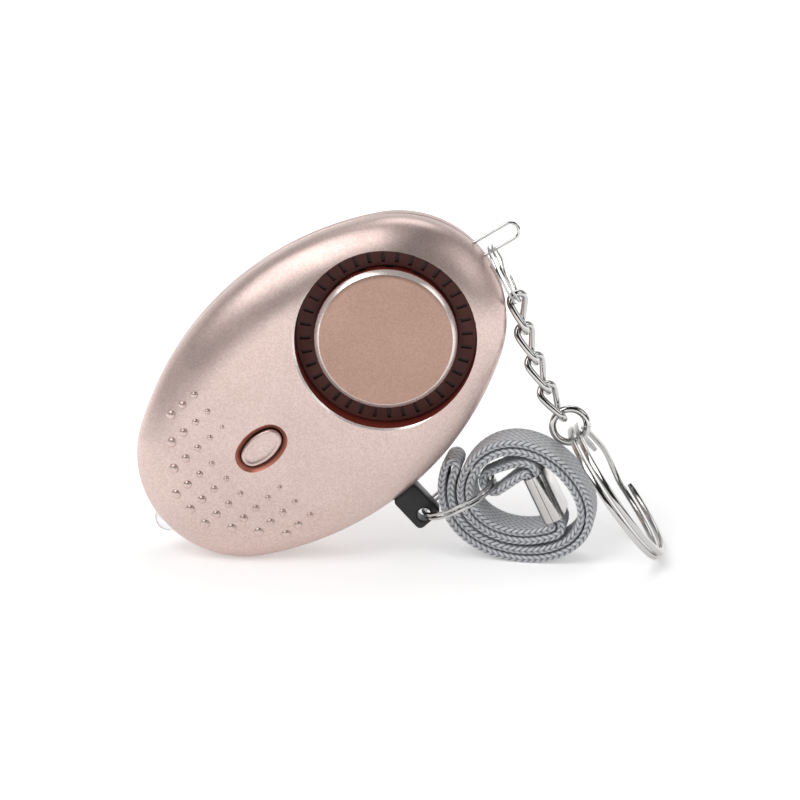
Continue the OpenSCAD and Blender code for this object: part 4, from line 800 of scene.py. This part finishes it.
def round_siren(count, u0, u1, half, n0, n1):
    """Small blocks set out evenly round the siren's middle, as one cutter."""
    middle = Matrix.Translation((SIREN_U, 0, 0))
    turns = [middle @ Matrix.Rotation(2 * pi * i / count, 4, "Z") for i in range(count)]
    return solid_mesh("slots", *[turned(block(u0, u1, -half, half, n0, n1), turn) for turn in turns])


cap_rows = [(CAP_R - x, CAP_TOP - z) for x, z in CAP_PROFILE]
cap = carved(solid_mesh("siren_cap_face", tube(SIREN_U, 0, *cap_rows, sides=128)),
             round_siren(CAP_SLOTS, CAP_R - CAP_WALL - OVER, CAP_R + OVER, CAP_SLOT_HALF,
                         GROOVE_FLOOR - OVER, GROOVE_FLOOR + CAP_SLOT_H))
rose_cap = rose_paint("rose_cap_paint", (0.425, 0.267, 0.21), (0.50, 0.318, 0.254), 0.36, 0.46)


def cap_part(face):
    """Which finish a face of the cap has: 0 paint on top, 1 painted highlight on the bevel, 2 painted shade
    on the skirt.
    """
    height = face.center.z
    if height > CAP_TOP - CAP_SLACK:
        return 0
    return 1 if height > CAP_TOP - CAP_BEVEL - CAP_SLACK and face.normal.z > FACING else 2


cap_parts = [cap_part(face) for face in cap.polygons]
place_piece("siren_cap_face", smoothed(cap, IN_CASE), rose_cap, "case", "siren_cap")
add_finishes(cap, cap_parts, edge_highlight, groove_shade)

# Grille. A dark moulded ring with fine radial slots, unpainted; it lies on the groove's floor round the
# cap and lets the sound through.
GRILLE_T, GRILLE_SLOTS, GRILLE_SLOT_HALF_L, GRILLE_SLOT_HALF_W, GRILLE_CUTS = 0.7, 36, 1.1, 0.4, 144
grille_in, grille_out, grille_top = CAP_R + FIT, GROOVE_R - FIT, GROOVE_FLOOR + GRILLE_T
across_ring = [(grille_in, GROOVE_FLOOR), (grille_out, GROOVE_FLOOR),
               (grille_out, grille_top), (grille_in, grille_top)]
turn = [2 * pi * i / GRILLE_CUTS for i in range(GRILLE_CUTS)]
ring = loft([[(SIREN_U + r * cos(a), r * sin(a), z) for r, z in across_ring] for a in turn], True)
slot_mid = (CAP_R + GROOVE_R) / 2
grille = carved(solid_mesh("grille_ring", ring),
                round_siren(GRILLE_SLOTS, slot_mid - GRILLE_SLOT_HALF_L, slot_mid + GRILLE_SLOT_HALF_L,
                            GRILLE_SLOT_HALF_W, GROOVE_FLOOR - OVER, GROOVE_FLOOR + 2 * OVER))

# Moulding grain: the fine spark-eroded texture of unpainted plastic
grain_marks, asked, given = effect("moulding_grain", [("Grain Scale", 1800.0), ("Low", 0.4), ("High", 0.55)],
                                   ["Roughness", "Height"])
spot = add_node(grain_marks, "ShaderNodeTexCoord", (-900, 0))
pits = add_node(grain_marks, "ShaderNodeTexNoise", (-600, -200), Vector=spot.outputs["Object"],
                Scale=asked.outputs["Grain Scale"], Detail=3.0, Roughness=0.65)
patch = add_node(grain_marks, "ShaderNodeTexNoise", (-600, 200), Vector=spot.outputs["Object"],
                 Scale=220.0, Detail=2.0)
level = add_node(grain_marks, "ShaderNodeMapRange", (-300, 200), Value=patch.outputs["Fac"], From_Min=0.3,
                 From_Max=0.7, To_Min=asked.outputs["Low"], To_Max=asked.outputs["High"])
grain_marks.links.new(level.outputs["Result"], given.inputs["Roughness"])
grain_marks.links.new(pits.outputs["Fac"], given.inputs["Height"])
dark_plastic, shader = new_finish("dark_grille_plastic", (0.13, 0.05, 0.042), 0.5)
shader.inputs["Specular IOR Level"].default_value = 0.2
marked(dark_plastic, shader, grain_marks, 0.5, 0.0001, Grain_Scale=1900.0, Low=0.42, High=0.58)
place_piece("grille_ring", smoothed(grille, IN_CASE), dark_plastic, "case", "siren_grille")

# Sounder. A brass disc with its crystal sits on the ledge of a black moulded cup, which is glued behind
# the siren's well. The switch and the pin's contacts share these two finishes.
black_plastic, shader = new_finish("black_moulded_plastic", (0.007, 0.007, 0.008), 0.4)
marked(black_plastic, shader, grain_marks, 0.3, 0.00008, Grain_Scale=1500.0, Low=0.3, High=0.45)
brass, shader = new_finish("rolled_brass", (0.72, 0.52, 0.22), 0.3, 1.0)
marked(brass, shader, handling, 0.2, 0.00005, Scale=350.0, Low=0.22, High=0.4, Scratch_Scale=3000.0)


def dress(finish, *nodes):
    """Puts a finish on CAD solids that stay as they are."""
    for name in nodes:
        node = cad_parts[name]
        node.data.materials.clear()
        node.data.materials.append(finish)


dress(black_plastic, "sound_chamber", "button_switch")
dress(brass, "piezo_disc", "alarm_contacts")

# Circuit board: green lacquer over glass cloth, with the light, the switch, the pin's contacts and the
# battery's spring plates soldered to it. Three button cells stand in a row behind it.
board, shader = new_finish("board_lacquer", (0.02, 0.12, 0.04), 0.35)
marked(board, shader, grain_marks, 0.25, 0.00006, Grain_Scale=900.0, Low=0.25, High=0.4)
dress(board, "circuit_board")
dress(plated_steel, "button_cells")
dress(bright_steel, "battery_contact_positive", "battery_contact_negative")

# Lens. A clear acrylic dome at the case's lower tip, held by its flange behind the wall; the light's
# own clear bulb stands in a bore behind the dome.
LENS_OUT, LENS_FLANGE, LENS_FLANGE_T, LENS_BORE, LENS_BORE_END = 2.6, 3.8, 1, 1.8, 0.6
DOME_ROWS, DOME_TIP = 9, 0.04
LENS_DOME = (LENS_R**2 + LENS_OUT**2) / (2 * LENS_OUT)
LENS_TURN = atan2(LENS_R, LENS_DOME - LENS_OUT)
sag = END_R - WALL - sqrt((END_R - WALL) ** 2 - LENS_FLANGE**2)
LENS_SEAT = WALL + sag + FIT
LENS_END = LENS_SEAT + LENS_FLANGE_T
dome_turns = LENS_TURN * np.linspace(1, DOME_TIP, DOME_ROWS)
dome = [(LENS_DOME * sin(a), LENS_DOME - LENS_OUT - LENS_DOME * cos(a)) for a in dome_turns]
lens_rows = [(LENS_BORE, LENS_BORE_END), (LENS_BORE, LENS_END), (LENS_FLANGE, LENS_END),
             (LENS_FLANGE, LENS_SEAT), (LENS_R, LENS_SEAT), *dome]
lens = solid_mesh("clear_lens", turned(tube(0, 0, *lens_rows, sides=48),
                                       Matrix.Translation((-CASE_L / 2, 0, 0)) @ LIE_ALONG))
acrylic, shader = new_finish("clear_acrylic", (0.97, 0.98, 0.99), 0.06)
shader.inputs["Transmission Weight"].default_value = 1.0
shader.inputs["IOR"].default_value = 1.49
marked(acrylic, shader, handling, 0.06, 0.00003, Scale=500.0, Low=0.03, High=0.1, Scratch_Scale=2600.0)
place_piece("clear_lens", smoothed(lens, IN_CASE), acrylic, "case", "led_lens")
bulb, shader = new_finish("bulb_epoxy", (0.93, 0.93, 0.90), 0.15)
shader.inputs["Transmission Weight"].default_value = 0.6
marked(bulb, shader, handling, 0.05, 0.00003, Scale=700.0, Low=0.08, High=0.2, Scratch_Scale=2600.0)
dress(bulb, "led")

# Button. An oval painted key with a raised bright rim and a dished top; its flange is caught under the
# front shell, and it presses the switch on the board.
BUTTON, BUTTON_SIDE_TOP = oval(BUTTON_L, BUTTON_W, BUTTON_R), 9.55
BUTTON_ROWS = [(1, 7.2), (1, 8.0), (0, 8.0), (0, 9.5), (-0.06, 9.72), (-0.2, 9.9), (-0.4, 10), (-0.62, 10),
               (-0.85, 9.9), (-1.2, 9.82), (-1.9, 9.78)]
key = solid_mesh("light_button", loft([oval_ring(BUTTON, x, z, 20, 16, BUTTON_U) for x, z in BUTTON_ROWS]))
# The key's sides and flange, down in the gap round it, get the near-black painted shade
key_shaded_sides = [face.center.z < BUTTON_SIDE_TOP for face in key.polygons]
place_piece("light_button", smoothed(key, IN_CASE), rose, "button", "led_button")
add_finishes(key, key_shaded_sides, recess_shade)

# Pull pin. A black moulded handle with a cross hole for the ring; its neck plugs the slot in the case
# and its blade holds the two alarm contacts apart until it is pulled.
PIN_W, PIN_D, PIN_OUT, PIN_CORNER, PIN_HOLE_OUT, PIN_HOLE_R, HOLE_CHAMFER = 6.3, 4.4, 9.1, 1.2, 7, 1.45, 0.35
NECK_ROOT, NECK_IN, BLADE_W, BLADE_T, BLADE_L = 1.5, 1, 5, 1.2, 11
PIN_EDGE = [(0.4, 0), (0.18, 0.08), (0.05, 0.22), (0, 0.42)]
pin_top, pin_end = PIN_V - FIT, PIN_V - PIN_OUT
pin_mid, pin_len = (pin_top + pin_end) / 2, pin_top - pin_end


def handle_ring(inset, z):
    """The handle's outline at a height, drawn in at its softened edges."""
    outline = rounded_box(PIN_W / 2 - inset, pin_len / 2 - inset, PIN_CORNER - inset / 2, 6)
    return [(PIN_U + x, pin_mid + y, z) for x, y in outline]


def pin_block(width, start, end, thick):
    """Flat bar in the pin's middle, along its pull."""
    return block(PIN_U - width / 2, PIN_U + width / 2, start, end, -thick / 2, thick / 2)


levels = [(x, z - PIN_D / 2) for x, z in PIN_EDGE] + [(x, PIN_D / 2 - z) for x, z in PIN_EDGE[::-1]]
handle = loft([handle_ring(inset, z) for inset, z in levels])
hole_top, hole_mouth = PIN_D / 2 - HOLE_CHAMFER, PIN_HOLE_R + HOLE_CHAMFER + OVER
hole_rows = [(hole_mouth, -PIN_D / 2 - OVER), (PIN_HOLE_R, -hole_top), (PIN_HOLE_R, hole_top),
             (hole_mouth, PIN_D / 2 + OVER)]
pin = carved(solid_mesh("pull_pin_handle", handle), tube(PIN_U, PIN_V - PIN_HOLE_OUT, *hole_rows, sides=48))
pin = carved(pin, pin_block(NECK_W, pin_top - NECK_ROOT, PIN_V + WALL + NECK_IN, NECK_D),
             pin_block(BLADE_W, PIN_V + WALL, PIN_V + WALL + BLADE_L, BLADE_T), how="UNION")
place_piece("pull_pin_handle", smoothed(pin, IN_CASE), black_plastic, "pin", "pull_pin")

# Bail. A hairpin of thin plated wire at the case's upper tip; its two feet are bent outwards and caught
# between the two shells. One half of its line is laid out and the other mirrored.
LEG, CROOK = BAIL_LEGS / 2, 0.5
straight = BAIL_OUT - LEG - BAIL_R
line = [(-BAIL_IN, -LEG - BAIL_FOOT), (-BAIL_IN, -LEG - CROOK)]
crook_turns, bow_turns = np.radians(np.linspace(22.5, 90, 4)), np.radians(np.linspace(9, 90, 10))
line += [(-BAIL_IN + CROOK * (1 - cos(a)), -LEG - CROOK * (1 - sin(a))) for a in crook_turns]
line += [(x, -LEG) for x in np.linspace(0, straight, 6)]
line += [(straight + LEG * sin(a), -LEG * cos(a)) for a in bow_turns]
line += [(x, -y) for x, y in line[-2::-1]]


def round_wire(r, sides):
    """Points round a wire's section."""
    return [(r * cos(2 * pi * i / sides), r * sin(2 * pi * i / sides)) for i in range(sides)]


wire = swept([(x, y, 0) for x, y in line], [(0, 0, 1)] * len(line), round_wire(BAIL_R, 16))
place_piece("wire_bail", smoothed(solid_mesh("wire_bail", wire), IN_CASE @ AT_BAIL, 50), plated_steel, "case",
            "bail")

# Chain. The small split ring hangs on the bail, then four twisted curb links and a bent jump ring, each
# hooked into the one above; all are nickel plated steel wire.
HOOK_GAP, TWIST_ROOM = 0.1, 0.15
BAIL_RING_D, BAIL_RING_RADIAL, BAIL_RING_AXIAL, BAIL_RING_TURN, BAIL_HOOK = 12.8, 0.8, 0.5, 63, 2
LINK_TURNS, LINK_WIRE, LINK_L, LINK_W, LINK_PHASE, LINK_TWIST = [77, 71, 67, 60], 0.75, 8.6, 4.2, 22, 90
JUMP_TURN, JUMP_R, JUMP_WIRE, JUMP_BUTT = 45, 3.7, 0.8, 2
bail_way = np.array([cos(radians(TILT) + BAIL_TURN), 0, sin(radians(TILT) + BAIL_TURN)])
bail_across = np.array([-bail_way[2], 0, bail_way[0]])
tip = CASE_AT + CASE_L / 2 * np.array([cos(radians(TILT)), 0, sin(radians(TILT))])
hook = tip - BAIL_LEGS / 2 * bail_across + BAIL_HOOK * bail_way
top = hook - (BAIL_R + BAIL_RING_RADIAL / 2 + HOOK_GAP) * falling(BAIL_RING_TURN)
low = top + BAIL_RING_D * falling(BAIL_RING_TURN)
split_ring("small_split_ring", (top + low) / 2, -falling(BAIL_RING_TURN), BAIL_RING_D,
           BAIL_RING_RADIAL, BAIL_RING_AXIAL, "small_ring", "bail_ring")


def arch_room(r, half):
    """Room that a flat ring of some half thickness needs under a round arch."""
    return r - sqrt(r * r - half * half)


def link_mesh(name, top, degrees):
    """Wire bent into a long loop and twisted a quarter turn from end to end."""
    r, run = LINK_W / 2, LINK_L / 2 - LINK_W / 2
    arc, steps = np.radians(np.arange(0, 180.1, 9)), np.linspace(-run, run, 14)[1:-1]
    flat = ([(-run - r * sin(a), -r * cos(a)) for a in arc] + [(x, r) for x in steps]
            + [(run + r * sin(a), r * cos(a)) for a in arc] + [(-x, -r) for x in steps])
    down, front = falling(degrees), np.array([0, -1.0, 0])
    left = np.cross(down, front)
    middle = top + LINK_L / 2 * down
    path = []
    for x, y in flat:
        a = radians(LINK_PHASE - LINK_TWIST * x / LINK_L)
        path.append(middle + x * down + y * (cos(a) * front + sin(a) * left))
    return solid_mesh(name, swept(path, np.array(path) - middle, round_wire(LINK_WIRE, 18), True))


reach = BAIL_RING_RADIAL / 2
room = arch_room(LINK_W / 2 - LINK_WIRE, BAIL_RING_AXIAL + TURN_GAP / 2) + TWIST_ROOM
for i, degrees in enumerate(LINK_TURNS):
    top = low - (reach + LINK_WIRE + HOOK_GAP + room) * falling(degrees)
    low = top + LINK_L * falling(degrees)
    mesh = smoothed(link_mesh(f"curb_link_{i + 1}", top, degrees), TO_FRAME, 60)
    place_piece(mesh.name, mesh, plated_steel, f"link_{i + 1}", f"chain_link_{i + 1}")
    reach, room = LINK_WIRE, 0
top = low - (LINK_WIRE + JUMP_WIRE + HOOK_GAP) * falling(JUMP_TURN)
jump_at = top + JUMP_R * falling(JUMP_TURN)
a = np.radians(np.linspace(JUMP_BUTT, 360 - JUMP_BUTT, 90))
out = np.stack([np.cos(a), 0 * a, np.sin(a)], 1)
wire = swept(jump_at + JUMP_R * out, out, round_wire(JUMP_WIRE, 18))
jump = smoothed(solid_mesh("bent_jump_ring", wire), TO_FRAME, 50)
place_piece("bent_jump_ring", jump, plated_steel, "jump", "jump_ring")

# Key ring. The large split ring, of heavier wire wound in two turns, hangs in the jump ring; it leans
# down to the table with its lower edge.
KEY_D, KEY_RADIAL, KEY_AXIAL, KEY_TURN = 34, 1.6, 1.25, 54.3
hang = JUMP_WIRE + KEY_RADIAL / 2 + HOOK_GAP + arch_room(JUMP_R - JUMP_WIRE, KEY_AXIAL + TURN_GAP / 2)
top = jump_at + (JUMP_R - hang) * falling(KEY_TURN)
key_mean = KEY_D - KEY_RADIAL
split_ring("key_split_ring", top + key_mean / 2 * falling(KEY_TURN), -falling(KEY_TURN), key_mean,
           KEY_RADIAL, KEY_AXIAL, "keys", "key_ring", 2.0)

# Table and light. A white table and background, one large soft lamp above on the left, a weak one on the
# right and one above behind; metal mirrors a darker room behind the camera, which gives it contrast.
floor_mesh = bpy.data.meshes.new("table")
floor_mesh.from_pydata([(-3, -3, 0), (3, -3, 0), (3, 3, 0), (-3, 3, 0)], [], [(0, 1, 2, 3)])
floor = bpy.data.objects.new("table", floor_mesh)
bpy.context.collection.objects.link(floor)
white, shader = new_finish("white_table", (0.9, 0.9, 0.9), 0.9)
shader.inputs["Specular IOR Level"].default_value = 0.1
tree = white.node_tree


def reckon(tree, operation, place, first, second):
    """What a math node makes of two values."""
    node = add_node(tree, "ShaderNodeMath", place, i0=first, i1=second)
    node.operation = operation
    return node.outputs[0]


# The table also glows for camera rays and in reflections, faintly within a few centimetres of the object and
# much more farther out: painted light that turns the far table white while the lamps' shadow stays near the
# object
rays = add_node(tree, "ShaderNodeLightPath", (-700, 0)).outputs
seen = reckon(tree, "MAXIMUM", (-450, 0), rays["Is Camera Ray"], rays["Is Glossy Ray"])
seen = reckon(tree, "MAXIMUM", (-250, 0), seen, rays["Is Transmission Ray"])
where = add_node(tree, "ShaderNodeTexCoord", (-900, -300))
far = add_node(tree, "ShaderNodeVectorMath", (-700, -300), i0=where.outputs["Object"])
far.operation = "LENGTH"
paler = add_node(tree, "ShaderNodeMapRange", (-450, -300), Value=far.outputs["Value"],
                 From_Min=0.06, From_Max=0.3, To_Min=0.34, To_Max=0.9)
glow = reckon(tree, "MULTIPLY", (-50, -200), seen, paler.outputs["Result"])
shader.inputs["Emission Color"].default_value = (1, 1, 1, 1)
tree.links.new(glow, shader.inputs["Emission Strength"])
floor_mesh.materials.append(white)

world = bpy.data.worlds.new("studio")
bpy.context.scene.world = world
world.use_nodes = True
tree = world.node_tree
sky = tree.nodes["Background"]
rays = add_node(tree, "ShaderNodeLightPath", (-900, 300)).outputs
way = add_node(tree, "ShaderNodeTexCoord", (-900, -200))
split = add_node(tree, "ShaderNodeSeparateXYZ", (-700, -200), Vector=way.outputs["Generated"])
walls = add_node(tree, "ShaderNodeMapRange", (-500, -200), Value=split.outputs["Y"],
                 From_Min=-0.3, From_Max=0.45, To_Min=0.04, To_Max=1.0)
ceiling = add_node(tree, "ShaderNodeMapRange", (-500, -450), Value=split.outputs["Z"],
                   From_Min=0.2, From_Max=0.6, To_Min=1.0, To_Max=0.45)
shaded = reckon(tree, "MULTIPLY", (-400, -300), walls.outputs["Result"], ceiling.outputs["Result"])
white_seen = reckon(tree, "MAXIMUM", (-500, 300), rays["Is Camera Ray"], rays["Is Transmission Ray"])
mirrored = add_node(tree, "ShaderNodeMix", (-300, 0), i0=rays["Is Glossy Ray"], i2=0.38, i3=shaded)
strength = add_node(tree, "ShaderNodeMix", (-100, 0), i0=white_seen, i2=mirrored.outputs[0], i3=1.0)
sky.inputs["Color"].default_value = (1, 1, 1, 1)
tree.links.new(strength.outputs[0], sky.inputs["Strength"])

LAMPS = [("softbox", (-0.45, -0.4, 0.7), 0.55, 3.4), ("fill", (0.6, -0.35, 0.45), 0.35, 0.7),
         ("top", (0.05, 0.3, 0.8), 0.5, 1.2)]
for name, place, size, watts in LAMPS:
    lamp_data = bpy.data.lights.new(name, "AREA")
    lamp_data.size, lamp_data.energy = size, watts
    lamp = bpy.data.objects.new(name, lamp_data)
    bpy.context.collection.objects.link(lamp)
    lamp.location = place
    lamp.rotation_euler = (Vector(place) - MIDDLE).to_track_quat("Z", "Y").to_euler()
